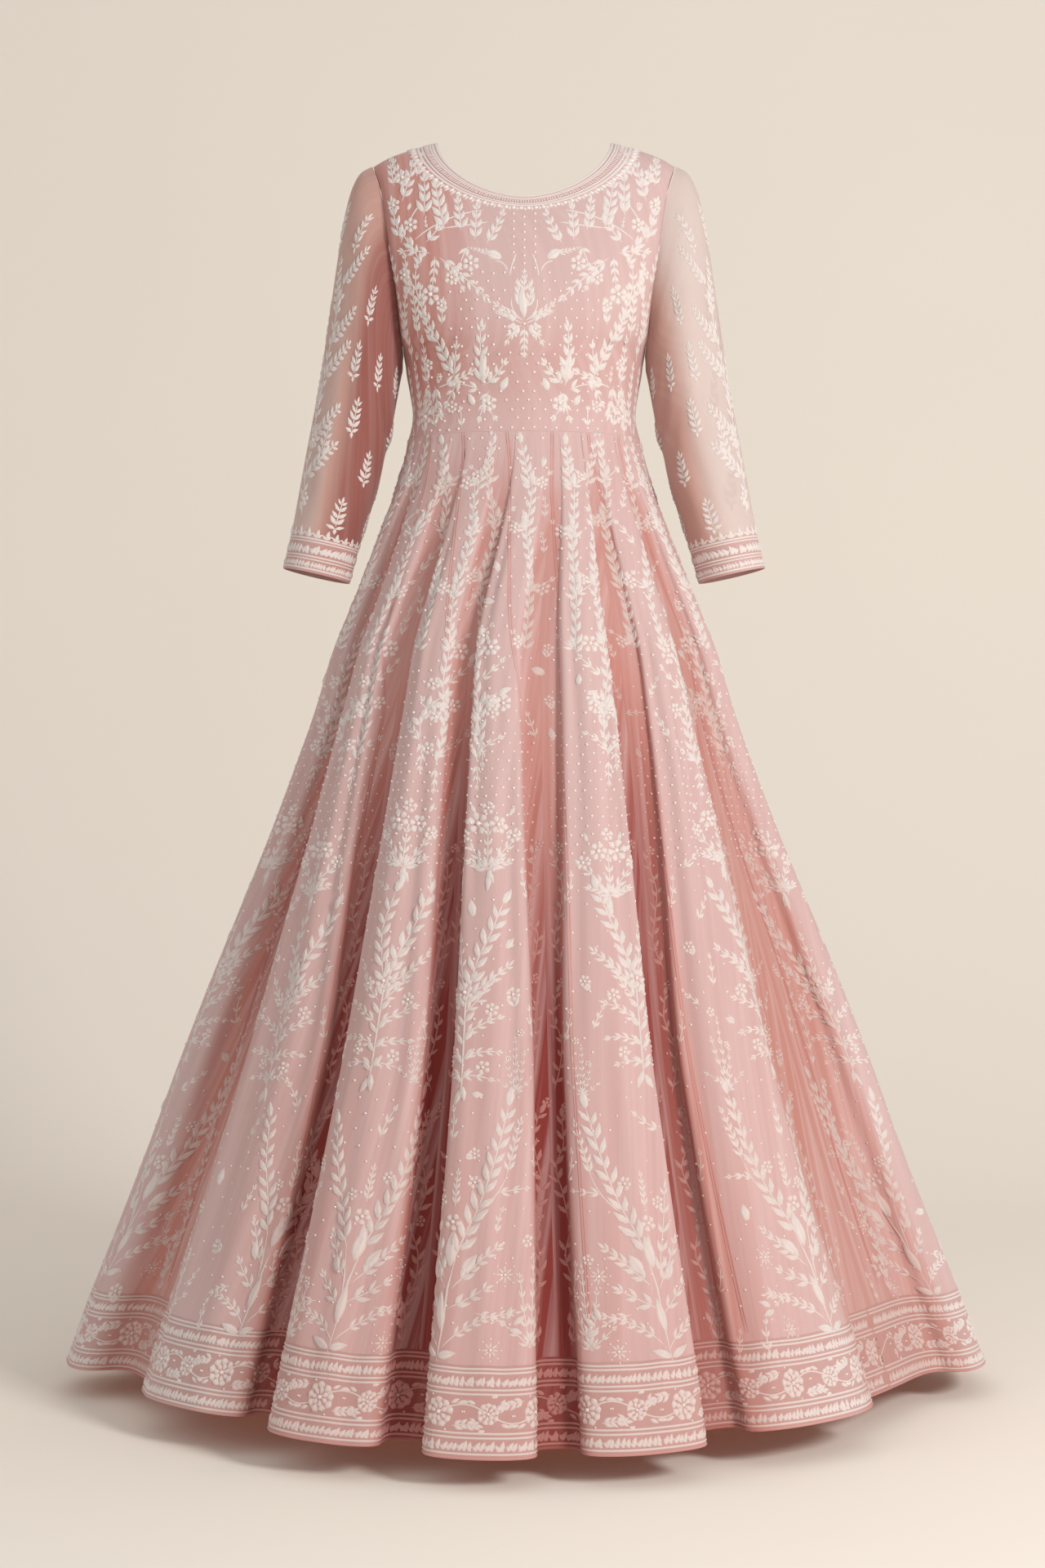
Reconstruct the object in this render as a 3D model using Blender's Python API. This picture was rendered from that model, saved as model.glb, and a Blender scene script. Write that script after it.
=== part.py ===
"""Anarkali gown, filled out as if worn, with nobody in it.

Metres, +Z up, the front faces -Y and +X is the wearer's left.
The origin lies midway between the neck ends of the two shoulder seams.
Every panel is a thin closed wall round a surface worked out from sizes, and
panels that are sewn together stand SEAM_GAP apart.
"""

import bpy
import numpy as np

# ---- driving sizes -------------------------------------------------------
WALL = 0.0020
SEAM_GAP = 0.0003
WAIST_Z = -0.3550
UNDERARM_Z = -0.2489
SHOULDER_END = (0.1803, -0.0274)
BORDER_TOP_Z = -1.3620
HEM_Z = -1.4500
FLARE_TOP_Z = -0.6200
HEM_LIFT = 0.010
KALI_STEPS = 14
KALI_LEVELS = (-0.355, -0.385, -0.440, -0.520, -0.630, -0.800, -1.050, -1.362)
BORDER_LEVELS = (-1.362, -1.450)
BODICE_STEPS = 22
BODICE_ROWS = (0.0, 0.095, 0.20, 0.3239, 0.43, 0.55, 0.67, 0.78, 0.87, 0.94, 0.98, 1.0)
NECK_STEPS = 8
# how far the rows under the shoulder stand outside the end of the neckline
NECK_END_SPREAD = 0.005

# Half-width of the bodice at its side seam, then at its armhole edge.
BODICE_SIDE = {
    "z": (-0.355, -0.340, -0.324, -0.300, -0.280, -0.2489, -0.2259, -0.187,
          -0.149, -0.118, -0.0876, -0.0542, -0.0274),
    "x": (0.1360, 0.1335, 0.1323, 0.1358, 0.1395, 0.1441, 0.1466, 0.1506,
          0.1565, 0.1606, 0.1648, 0.1710, 0.1803),
}
# Depth of the bodice at its middle, forwards and backwards.
BODICE_DEPTH = {
    "z": (-0.355, -0.324, -0.290, -0.250, -0.200, -0.150, -0.080, 0.0),
    "front": (0.0940, 0.0950, 0.1010, 0.1080, 0.1090, 0.1010, 0.0850, 0.0800),
    "back": (0.0900, 0.0880, 0.0890, 0.0940, 0.0980, 0.0980, 0.0900, 0.0800),
}
# The rest of each side: how far the armhole edge stands out, how far below the
# shoulder line the cloth turns over it, and the depth of the neckline.
BODICE_FORM = {
    "front": {"sign": -1.0, "armhole": 0.048, "turn": 0.120, "neck": 0.0827},
    "back": {"sign": 1.0, "armhole": 0.052, "turn": 0.105, "neck": 0.0640},
}
SHOULDER_LINE = {
    "x": (0.0, 0.1034, 0.1205, 0.1485, 0.1656, 0.1803),
    "z": (0.0, -0.0005, -0.0039, -0.0118, -0.0186, -0.0274),
}
NECK_POWER = 2 / 1.83
NECK_INNER = {"x": 0.1034, "top": -0.0005, "front": 0.0773, "back": 0.0560}
NECK_OUTER = {"x": 0.1205, "top": -0.0039, "front": 0.0827, "back": 0.0640}

# Sleeve rings: the outer end and the inner end of each, its half-depth and how
# far forward its middle lies. The first follows the armhole.
SLEEVE_RINGS = (
    # out_x   out_z    in_x    in_z    depth   forward
    (0.1803, -0.0274, 0.1441, -0.2489, 0.050, 0.000),
    (0.1940, -0.0343, 0.1460, -0.2587, 0.054, 0.000),
    (0.2048, -0.0519, 0.1475, -0.2695, 0.057, 0.001),
    (0.2127, -0.0794, 0.1499, -0.2832, 0.059, 0.001),
    (0.2195, -0.1186, 0.1529, -0.3018, 0.059, 0.002),
    (0.2264, -0.1646, 0.1563, -0.3214, 0.058, 0.003),
    (0.2332, -0.2136, 0.1607, -0.3440, 0.056, 0.004),
    (0.2411, -0.2675, 0.1671, -0.3714, 0.054, 0.006),
    (0.2499, -0.3195, 0.1744, -0.4047, 0.052, 0.008),
    (0.2597, -0.3714, 0.1833, -0.4361, 0.050, 0.010),
    (0.2685, -0.4204, 0.1906, -0.4596, 0.048, 0.012),
    (0.2773, -0.4684, 0.1989, -0.4861, 0.046, 0.014),
)
CUFF_RINGS = (
    (0.2773, -0.4684, 0.1989, -0.4861, 0.046, 0.014),
    (0.2871, -0.5096, 0.2097, -0.5272, 0.045, 0.015),
)

# Half-width of the skirt over its outermost folds, and how much shallower than
# wide it is.
SKIRT_WIDTH = {
    "z": (-0.355, -0.4136, -0.4557, -0.5096, -0.5488, -0.6105, -0.675, -0.8065,
          -0.9045, -1.0025, -1.1005, -1.1985, -1.2965, -1.3945, -1.450),
    "half": (0.1360, 0.1544, 0.1710, 0.1910, 0.2063, 0.2303, 0.2490, 0.2960,
             0.3357, 0.3758, 0.4136, 0.4498, 0.4885, 0.5285, 0.5493),
}
SKIRT_DEPTH = {
    "z": (-0.355, -0.500, -0.750, -1.100, -1.450),
    "front": (0.691, 0.800, 0.920, 0.980, 1.000),
    "back": (0.662, 0.780, 0.900, 0.950, 0.960),
}
# One kali a row, going round from the middle of the front to the wearer's left.
# Angles are in degrees from the front. "seam" is the seam on its first side, at
# the waist, at FLARE_TOP_Z and at the hem. "left" and "right" are the edges of
# its fold at FLARE_TOP_Z and at the hem. Radii are shares of SKIRT_WIDTH: the
# crest and the two shoulders of the fold. "sink" is how deep the recess at the
# seam lies at the hem, in metres.
KALIS = (
    # seam waist, top, hem   left top, hem    right top, hem  crest  left   right  sink
    (-8.5, -18.0, -14.2,     -13.9, -11.5,    -1.2, 1.4,      1.000, 0.978, 0.980, 0.064),
    (14.0, 4.7, 4.0,         10.6, 6.4,       25.4, 21.0,     0.995, 0.968, 0.975, 0.052),
    (32.0, 32.0, 24.3,       39.0, 27.6,      56.8, 49.4,     0.955, 0.930, 0.915, 0.062),
    (53.5, 64.0, 58.0,       76.0, 76.0,      98.0, 98.0,     1.000, 0.960, 0.975, 0.060),
    (80.0, 104.0, 102.5,     109.0, 107.0,    120.0, 121.0,   0.985, 0.960, 0.960, 0.058),
    (101.8, 125.0, 125.0,    130.5, 129.0,    139.0, 137.5,   0.955, 0.930, 0.940, 0.046),
    (123.6, 143.5, 141.0,    147.5, 145.0,    159.0, 157.5,   0.975, 0.945, 0.955, 0.060),
    (145.3, 162.5, 161.0,    166.0, 164.5,    173.0, 172.0,   0.990, 0.970, 0.965, 0.049),
    (167.1, 176.5, 175.5,    180.0, 179.0,    190.5, 191.5,   1.000, 0.970, 0.980, 0.063),
    (188.9, 193.5, 195.0,    196.5, 198.0,    203.5, 206.0,   0.985, 0.965, 0.960, 0.044),
    (210.7, 207.0, 209.5,    211.0, 213.5,    221.5, 225.0,   0.970, 0.940, 0.950, 0.062),
    (232.4, 225.0, 228.5,    228.5, 232.0,    236.0, 239.0,   0.955, 0.935, 0.930, 0.045),
    (254.2, 240.0, 242.5,    245.0, 247.0,    255.0, 257.5,   0.985, 0.955, 0.965, 0.060),
    (276.0, 260.0, 261.5,    267.0, 266.5,    281.0, 283.0,   0.990, 0.965, 0.955, 0.054),
    (303.5, 284.0, 293.5,    291.0, 299.5,    309.0, 322.5,   0.930, 0.895, 0.905, 0.062),
    (327.0, 316.5, 325.2,    324.2, 328.0,    338.0, 343.2,   0.975, 0.940, 0.955, 0.058),
)
KALI_COUNT = len(KALIS)
BORDERS = {
    "border_front": 15,
    "border_left": 3,
    "border_back": 7,
    "border_right": 11,
}
KALIS_IN_BORDER = 4

COLOURS = {
    "georgette": (0.700, 0.430, 0.400),
    "organza": (0.780, 0.560, 0.520),
    "embroidered_band": (0.820, 0.640, 0.590),
}


# ---- sums ----------------------------------------------------------------
def through(at, xs, ys):
    """A smooth curve through the given points, flat where they turn back."""
    xs = np.asarray(xs, float)
    ys = np.asarray(ys, float)
    at = np.clip(np.asarray(at, float), xs[0], xs[-1])
    step = np.diff(xs)
    rise = np.diff(ys) / step
    slope = np.zeros_like(xs)
    same = rise[:-1] * rise[1:] > 0
    mean = 2 * rise[:-1] * rise[1:] / np.where(same, rise[:-1] + rise[1:], 1.0)
    slope[1:-1] = np.where(same, mean, 0.0)
    slope[0] = rise[0]
    slope[-1] = rise[-1]
    k = np.clip(np.searchsorted(xs, at, side="right") - 1, 0, len(step) - 1)
    t = (at - xs[k]) / step[k]
    start = (1 + 2 * t) * (1 - t) ** 2 * ys[k] + t * (1 - t) ** 2 * step[k] * slope[k]
    end = t * t * (3 - 2 * t) * ys[k + 1] + t * t * (t - 1) * step[k] * slope[k + 1]
    return start + end


def downward(z, table, column):
    """through(), for a table whose heights run downwards."""
    heights = -np.asarray(table["z"])
    return through(-np.asarray(z, float), heights, table[column])


def ease(t):
    """0 up to t = 0, 1 from t = 1, smooth between."""
    t = np.clip(t, 0.0, 1.0)
    return t * t * (3 - 2 * t)


def unit(v):
    return v / np.linalg.norm(v, axis=-1, keepdims=True)


def surface_normals(points, closed_round):
    """Normals of a grid of points, as the cross of its two directions."""
    if closed_round:
        wide = np.concatenate([points[:, -1:], points, points[:, :1]], axis=1)
        across = np.gradient(wide, axis=1)[:, 1:-1]
    else:
        across = np.gradient(points, axis=1)
    down = np.gradient(points, axis=0)
    return unit(np.cross(down, across))


def flattened(normals, axis):
    """The normals turned into the plane square to one axis."""
    flat = normals.copy()
    flat[..., axis] = 0.0
    return unit(flat)


# ---- walls ---------------------------------------------------------------
def wall_mesh(name, points, normals, slot, closed_round=False):
    """One closed wall: the grid moved out and in by half the wall, joined round its edges.

    The grid runs down its rows and leftwards to rightwards as seen from outside.
    """
    rows, cols = points.shape[:2]
    outer = points + normals * WALL / 2
    inner = points - normals * WALL / 2
    verts = np.concatenate([outer.reshape(-1, 3), inner.reshape(-1, 3)])
    count = rows * cols
    faces = []
    last = cols if closed_round else cols - 1
    for i in range(rows - 1):
        for j in range(last):
            k = (j + 1) % cols
            a, b = i * cols + j, i * cols + k
            c, d = (i + 1) * cols + k, (i + 1) * cols + j
            faces.append((a, d, c, b))
            faces.append((count + a, count + b, count + c, count + d))
    for j in range(last):
        k = (j + 1) % cols
        top, bottom = 0, (rows - 1) * cols
        faces.append((top + j, top + k, count + top + k, count + top + j))
        faces.append((bottom + k, bottom + j, count + bottom + j, count + bottom + k))
    if not closed_round:
        for i in range(rows - 1):
            a, b = i * cols, (i + 1) * cols
            faces.append((a, count + a, count + b, b))
            a, b = a + cols - 1, b + cols - 1
            faces.append((a, b, count + b, count + a))
    mesh = bpy.data.meshes.new(name)
    mesh.from_pydata(verts.tolist(), [], faces)
    mesh.polygons.foreach_set("use_smooth", np.ones(len(faces), bool))
    mesh.update()
    mesh.materials.append(material(name, slot))
    obj = bpy.data.objects.new(name, mesh)
    bpy.context.scene.collection.objects.link(obj)
    return obj


def material(name, slot):
    made = bpy.data.materials.new(name + "_" + slot)
    made.use_nodes = True
    shader = made.node_tree.nodes["Principled BSDF"]
    shader.inputs["Base Color"].default_value = (*COLOURS[slot], 1.0)
    shader.inputs["Roughness"].default_value = 0.8
    return made


# ---- bodice --------------------------------------------------------------
def armhole_depth(z, side):
    """How far the armhole edge stands from the side line at height z."""
    form = BODICE_FORM[side]
    middle = -0.120
    below = np.clip((middle - z) / (middle - UNDERARM_Z), 0.0, 1.0)
    return form["armhole"] * np.sqrt(1 - below**2)


def bodice_depth(x, z, side):
    """Distance of the bodice from the side line, at x and z."""
    form = BODICE_FORM[side]
    half = through(z, BODICE_SIDE["z"], BODICE_SIDE["x"])
    edge = armhole_depth(z, side)
    middle = through(z, BODICE_DEPTH["z"], BODICE_DEPTH[side])
    share = np.clip(np.abs(x) / half, 0.0, 1.0)
    body = edge + (middle - edge) * np.sqrt(np.clip(1 - share**2, 0.0, 1.0))
    line = through(np.abs(x), SHOULDER_LINE["x"], SHOULDER_LINE["z"])
    turn = np.clip((line - z) / form["turn"], 0.0, 1.0)
    return body * np.sqrt(1 - (1 - turn) ** 2)


def neck_curve(angle, size, side):
    """Half-width and height of a neckline at an angle from the middle."""
    x = size["x"] * np.sign(np.sin(angle)) * np.abs(np.sin(angle)) ** NECK_POWER
    z = size["top"] - size[side] * np.abs(np.cos(angle)) ** NECK_POWER
    return x, z


def bodice_top(s, side):
    """x and z of the top edge: shoulder, neckline, shoulder."""
    neck_share = 2 * NECK_STEPS / BODICE_STEPS
    angle = np.clip(s / neck_share, -1.0, 1.0) * np.pi / 2
    x, z = neck_curve(angle, NECK_OUTER, side)
    out = np.clip((np.abs(s) - neck_share) / (1 - neck_share), 0.0, 1.0)
    shoulder = NECK_OUTER["x"] + (SHOULDER_END[0] - NECK_OUTER["x"]) * out
    line = through(shoulder, SHOULDER_LINE["x"], SHOULDER_LINE["z"])
    on_shoulder = np.abs(s) > neck_share + 1e-9
    x = np.where(on_shoulder, np.sign(s) * shoulder, x)
    z = np.where(on_shoulder, line, z)
    return x, z


def bodice_grid(side, rows, steps):
    """Points of one half of the bodice, top row first."""
    s = np.linspace(-1.0, 1.0, steps + 1)[None, :]
    up = np.asarray(rows)[::-1][:, None]
    top_x, top_z = bodice_top(s, side)
    z = WAIST_Z + (top_z - WAIST_Z) * up
    edge_z = WAIST_Z + (SHOULDER_END[1] - WAIST_Z) * up
    half = through(edge_z, BODICE_SIDE["z"], BODICE_SIDE["x"])
    mix = ease((up - 0.25) / 0.45)
    end = 2 * NECK_STEPS / BODICE_STEPS
    near_end = np.clip(1 - np.abs(np.abs(s) - end) * BODICE_STEPS / 2, 0.0, 1.0)
    beside = top_x + np.sign(s) * NECK_END_SPREAD * near_end * ease((1 - up) / 0.02)
    x = half * ((1 - mix) * np.sin(s * np.pi / 2) + mix * beside / SHOULDER_END[0])
    y = BODICE_FORM[side]["sign"] * bodice_depth(x, z, side)
    points = np.stack([x, y, z], axis=-1)
    if side == "back":
        points = points[:, ::-1]
    return points


def bodice_piece(name, side):
    points = bodice_grid(side, BODICE_ROWS, BODICE_STEPS)
    normals = surface_normals(points, False)
    sign = BODICE_FORM[side]["sign"]
    below = points[:, 0, 2] < UNDERARM_Z + 0.001
    for column in (0, -1):
        normals[below, column] = (np.sign(points[-1, column, 0]), 0.0, 0.0)
        points[below, column, 1] = sign * SEAM_GAP / 2
    count = 2 * NECK_STEPS
    first = (BODICE_STEPS - count) // 2
    neck = slice(first, first + count + 1)
    normals[0, neck] = form_normals(points[0, neck], side)
    shoulder = np.r_[0 : first + 1, first + count : BODICE_STEPS + 1]
    normals[0, shoulder] = shoulder_normals(points[0, shoulder])
    points[0, neck] += neck_outwards(side) * SEAM_GAP / 2
    points[0, shoulder, 1] = sign * SEAM_GAP / 2
    normals[-1] = flattened(normals[-1], 2)
    points[-1, :, 2] += SEAM_GAP / 2
    wall_mesh(name, points, normals, "georgette")


def shoulder_normals(points):
    """Upward normals of the shoulder line, square to it in the XZ plane."""
    x = np.abs(points[:, 0])
    step = 0.002
    above, below = np.clip(x + step, None, SHOULDER_END[0]), x - step
    rise = through(above, SHOULDER_LINE["x"], SHOULDER_LINE["z"])
    rise = rise - through(below, SHOULDER_LINE["x"], SHOULDER_LINE["z"])
    slope = rise / (above - below)
    flat = np.stack([-slope * np.sign(points[:, 0]), 0 * x, np.ones_like(x)], axis=-1)
    return unit(flat)


def form_normals(points, side):
    """Outward normals of the bodice's form, turning up at the shoulder line."""
    x, z = points[:, 0], points[:, 2]
    step = 0.0005
    across = bodice_depth(x + step, z, side) - bodice_depth(x - step, z, side)
    up = bodice_depth(x, z + step / 2, side) - bodice_depth(x, z - step / 2, side)
    facing = np.full_like(x, BODICE_FORM[side]["sign"])
    sloped = unit(np.stack([-across / (2 * step), facing, -up / step], axis=-1))
    near = np.clip(np.abs(points[:, 1]) / 0.012, 0.0, 1.0)[:, None]
    return unit(sloped * near + shoulder_normals(points) * (1 - near))


def neck_rows(side, shares):
    """Rows of points of the band on one side, from the neckline outwards."""
    angle = np.linspace(-np.pi / 2, np.pi / 2, 2 * NECK_STEPS + 1)
    inner = neck_curve(angle, NECK_INNER, side)
    outer = neck_curve(angle, NECK_OUTER, side)
    rows = []
    for share in shares:
        x = inner[0] + (outer[0] - inner[0]) * share
        z = inner[1] + (outer[1] - inner[1]) * share
        y = BODICE_FORM[side]["sign"] * bodice_depth(x, z, side)
        rows.append(np.stack([x, y, z], axis=-1))
    rows = np.array(rows)
    return rows[:, ::-1] if side == "back" else rows


def neck_outwards(side):
    """The way from the neckline across the band, at each step of its edge."""
    inner, outer = neck_rows(side, (0.0, 1.0))
    return unit(outer - inner)


def neck_band():
    """The band round the neck, as one ring."""
    shares = (0.0, 0.5, 1.0)
    halves = [(neck_rows(side, shares), side) for side in ("front", "back")]
    normals = [
        np.array([form_normals(row, side) for row in rows]) for rows, side in halves
    ]
    points = np.concatenate([rows[:, :-1] for rows, _ in halves], axis=1)
    normals = np.concatenate([rows[:, :-1] for rows in normals], axis=1)
    points[-1] += unit(points[0] - points[-1]) * SEAM_GAP / 2
    wall_mesh("neck_band", points, normals, "embroidered_band", closed_round=True)


# ---- sleeves -------------------------------------------------------------
def armhole_ring():
    """Angles and points of the armhole, at the heights of the bodice's rows."""
    up = np.asarray(BODICE_ROWS)
    z = WAIST_Z + (SHOULDER_END[1] - WAIST_Z) * up
    z = z[z > UNDERARM_Z - 1e-4][::-1]
    x = through(z, BODICE_SIDE["z"], BODICE_SIDE["x"])
    front = np.stack([x, -bodice_depth(x, z, "front"), z], axis=-1)
    back = np.stack([x, bodice_depth(x, z, "back"), z], axis=-1)
    front[[0, -1], 1] = 0.0
    middle = (z[0] + z[-1]) / 2
    turn = np.arccos(np.clip((z - middle) / (z[0] - middle), -1.0, 1.0))
    angles = np.concatenate([turn, 2 * np.pi - turn[-2:0:-1]])
    return angles, np.concatenate([front, back[-2:0:-1]])


def sleeve_ring(row, angles):
    """An oval between the outer and the inner end of a row of the table."""
    out_x, out_z, in_x, in_z, depth, forward = row
    middle = np.array([(out_x + in_x) / 2, -forward, (out_z + in_z) / 2])
    reach = np.array([(out_x - in_x) / 2, 0.0, (out_z - in_z) / 2])
    side = np.array([0.0, -depth, 0.0])
    cos, sin = np.cos(angles)[:, None], np.sin(angles)[:, None]
    return middle + cos * reach + sin * side


def sleeve_grid():
    angles, armhole = armhole_ring()
    rings = [sleeve_ring(row, angles) for row in SLEEVE_RINGS]
    miss = armhole - rings[0]
    fade = (1.0, 0.55, 0.25, 0.08)
    for i, share in enumerate(fade):
        rings[i] = rings[i] + miss * share
    return angles, np.array(rings)


def ring_axis(row):
    out_x, out_z, in_x, in_z = row[:4]
    along = np.array([out_z - in_z, 0.0, in_x - out_x])
    return along / np.linalg.norm(along)


def in_ring(normals, axis):
    """The normals turned into the plane of a ring."""
    return unit(normals - (normals @ axis)[:, None] * axis)


def mirrored(points, normals, way):
    """The wearer's left as it is, or the wearer's right as its mirror image."""
    if way > 0:
        return points, normals
    flip = np.array([-1.0, 1.0, 1.0])
    return (points * flip)[:, ::-1], (normals * flip)[:, ::-1]


def sleeve_piece(name, cuff_name, way):
    angles, points = sleeve_grid()
    normals = -surface_normals(points, True)
    bottom = np.clip(-np.cos(angles), 0.0, 1.0)
    points[0, :, 0] += SEAM_GAP + WALL / 2 * (0.75 + 0.45 * bottom)
    normals[0] = flattened(normals[0] + np.array([0.0, 0.0, -0.2]) * bottom[:, None], 0)
    axis = ring_axis(SLEEVE_RINGS[-1])
    normals[-1] = in_ring(normals[-1], axis)
    points[-1] -= axis * SEAM_GAP / 2
    cuff = np.array([sleeve_ring(row, angles) for row in CUFF_RINGS])
    cuff_normals = -surface_normals(cuff, True)
    cuff_normals[0] = normals[-1]
    cuff[0] += axis * SEAM_GAP / 2
    for label, grid, ways, slot in (
        (name, points, normals, "organza"),
        (cuff_name, cuff, cuff_normals, "embroidered_band"),
    ):
        grid, ways = mirrored(grid, ways, way)
        wall_mesh(label, grid[:, ::-1], ways[:, ::-1], slot, closed_round=True)


# ---- skirt ---------------------------------------------------------------
def fold_controls(z):
    """Angles and radii of the seven control points of each kali, at heights z."""
    z = np.asarray(z, float)[:, None]
    rows = np.array(KALIS)
    ends = np.vstack([rows, rows[:1]])
    ends[-1, :7] += 360.0
    to_top = ease((WAIST_Z - z) / (WAIST_Z - FLARE_TOP_Z))
    to_hem = ease((FLARE_TOP_Z + 0.02 - z) / 0.50)
    seam = ends[:, 0] + (ends[:, 1] - ends[:, 0]) * to_top
    seam = seam + (ends[:, 2] - ends[:, 1]) * to_hem
    first, second = seam[:, :-1], seam[:, 1:]
    panel = ends[1:, 0] - ends[:-1, 0]
    left = ends[:-1, 0] + 0.2 * panel
    right = ends[:-1, 0] + 0.8 * panel
    left = left + (rows[:, 3] - left) * to_top + (rows[:, 4] - rows[:, 3]) * to_hem
    right = right + (rows[:, 5] - right) * to_top + (rows[:, 6] - rows[:, 5]) * to_hem
    width = downward(z, SKIRT_WIDTH, "half")
    fall = np.clip((WAIST_Z - z) / (WAIST_Z - HEM_Z), 0.0, 1.0)
    shaping = ease((WAIST_Z - z) / (WAIST_Z - FLARE_TOP_Z))
    sink = ends[:, 10] * fall**0.70
    crest, before, after = (1 - (1 - rows[:, k]) * shaping for k in (7, 8, 9))
    floor = (np.roll(crest, 1, axis=1) + crest) / 2
    floor = np.concatenate([floor, floor[:, :1]], axis=1) - sink / width
    tuck = 0.006 * shaping * fall / width * 180 / np.pi
    angles = np.stack([
        first, left + tuck, left - tuck * 0.3, left + 0.28 * (right - left),
        left + 0.72 * (right - left), right + tuck * 0.3, right - tuck,
    ], axis=-1)
    radii = np.stack([
        floor[:, :-1], floor[:, :-1] + 0.12 * sink[:, :-1] / width, before, crest,
        crest, after, floor[:, 1:] + 0.12 * sink[:, 1:] / width,
    ], axis=-1)
    shape = (len(z), 7 * KALI_COUNT)
    return np.radians(angles).reshape(shape), radii.reshape(shape) * width


def skirt_grid(levels, steps):
    """Points of the whole skirt, each kali in the same number of steps."""
    angles, radii = fold_controls(levels)
    z = np.asarray(levels, float)[:, None]
    front = downward(z, SKIRT_DEPTH, "front")
    back = downward(z, SKIRT_DEPTH, "back")
    cos = np.cos(angles)
    deep = back + (front - back) * ease((cos + 0.5) / 1.0)
    held = np.stack([radii * np.sin(angles), -radii * deep * cos], axis=-1)
    at = 0.5 + 7 * np.arange(steps * KALI_COUNT) / steps
    k = np.floor(at).astype(int)
    t = (at - k)[None, :, None]
    many = held.shape[1]
    before, here, after = (held[:, (k + i) % many] for i in (-1, 0, 1))
    flat = (1 - t) ** 2 / 2 * before + (0.5 + t - t * t) * here + t * t / 2 * after
    turn = np.arctan2(flat[..., 0], -flat[..., 1])
    drop = ease((WAIST_Z - z) / (WAIST_Z - HEM_Z))
    height = z + HEM_LIFT * np.sin(2 * turn) ** 2 * drop
    return np.concatenate([flat, height[..., None]], axis=-1)


def skirt_pieces():
    levels = KALI_LEVELS + BORDER_LEVELS[1:]
    points = skirt_grid(levels, KALI_STEPS)
    normals = surface_normals(points, True)
    along = np.concatenate([points[:, -1:], points, points[:, :1]], axis=1)
    along = unit(np.gradient(along, axis=1)[:, 1:-1])
    seam_row = len(KALI_LEVELS) - 1
    normals[0] = flattened(normals[0], 2)
    normals[seam_row] = flattened(normals[seam_row], 2)
    total = KALI_STEPS * KALI_COUNT
    down = np.array([0.0, 0.0, -SEAM_GAP / 2])
    for i in range(KALI_COUNT):
        cols = np.arange(i * KALI_STEPS, (i + 1) * KALI_STEPS + 1) % total
        rows = slice(0, seam_row + 1)
        name = "kali_%02d" % (i + 1)
        skirt_panel(name, points[rows, cols], normals[rows, cols], along[rows, cols],
                    down, -down, "georgette")
    for name, start in BORDERS.items():
        first = start * KALI_STEPS
        cols = np.arange(first, first + KALIS_IN_BORDER * KALI_STEPS + 1) % total
        rows = slice(seam_row, None)
        skirt_panel(name, points[rows, cols], normals[rows, cols], along[rows, cols],
                    down, 0 * down, "embroidered_band")


def skirt_panel(name, points, normals, along, top_shift, bottom_shift, slot):
    """A panel drawn back from its seams by half a gap."""
    points = points.copy()
    points[:, 0] += along[:, 0] * SEAM_GAP / 2
    points[:, -1] -= along[:, -1] * SEAM_GAP / 2
    points[0] += top_shift
    points[-1] += bottom_shift
    wall_mesh(name, points, normals, slot)


# ---- the gown ------------------------------------------------------------
def clear_scene():
    for obj in list(bpy.data.objects):
        bpy.data.objects.remove(obj, do_unlink=True)


def main():
    clear_scene()
    bodice_piece("bodice_front", "front")
    bodice_piece("bodice_back", "back")
    neck_band()
    sleeve_piece("sleeve_left", "cuff_left", 1)
    sleeve_piece("sleeve_right", "cuff_right", -1)
    skirt_pieces()


main()
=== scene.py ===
# %% [markdown]
# # The looks of an embroidered anarkali gown
#
# An anarkali is a long gown: a fitted bodice, sheer sleeves and a wide skirt cut in
# tapering panels, called kalis. This one is dusty pink georgette, closely covered in
# raised cream thread and small pearls, and it stands filled out as if somebody wore it.
#
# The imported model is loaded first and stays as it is. Each of its walls is then
# replaced by a finer, thinner shell worked out from the same sizes, and the stitching
# is laid on those shells by the same surfaces, so that nothing floats or sinks.

# %% Load the frame
import math

import bpy
import numpy as np
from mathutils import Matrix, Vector


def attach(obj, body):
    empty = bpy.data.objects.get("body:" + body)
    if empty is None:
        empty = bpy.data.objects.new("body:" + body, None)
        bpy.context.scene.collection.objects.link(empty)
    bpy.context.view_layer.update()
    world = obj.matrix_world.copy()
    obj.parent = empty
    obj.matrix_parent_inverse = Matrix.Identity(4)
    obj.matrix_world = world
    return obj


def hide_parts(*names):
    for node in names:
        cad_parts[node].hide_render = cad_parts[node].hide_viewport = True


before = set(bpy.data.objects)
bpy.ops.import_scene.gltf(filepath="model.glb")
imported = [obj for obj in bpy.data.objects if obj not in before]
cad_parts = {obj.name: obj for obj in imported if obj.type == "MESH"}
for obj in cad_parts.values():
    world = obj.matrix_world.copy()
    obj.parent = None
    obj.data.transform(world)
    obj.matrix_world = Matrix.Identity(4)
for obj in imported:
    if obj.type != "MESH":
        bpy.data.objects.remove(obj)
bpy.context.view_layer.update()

print("nodes in the frame:", len(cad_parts))

# %% [markdown]
# ## Sizes
#
# These are the gown's own sizes, the same ones that its solids were made from. All
# lengths are in metres, +Z is up, the front faces -Y and +X is the wearer's left. The
# origin is between the neck ends of the two shoulder seams.

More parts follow.
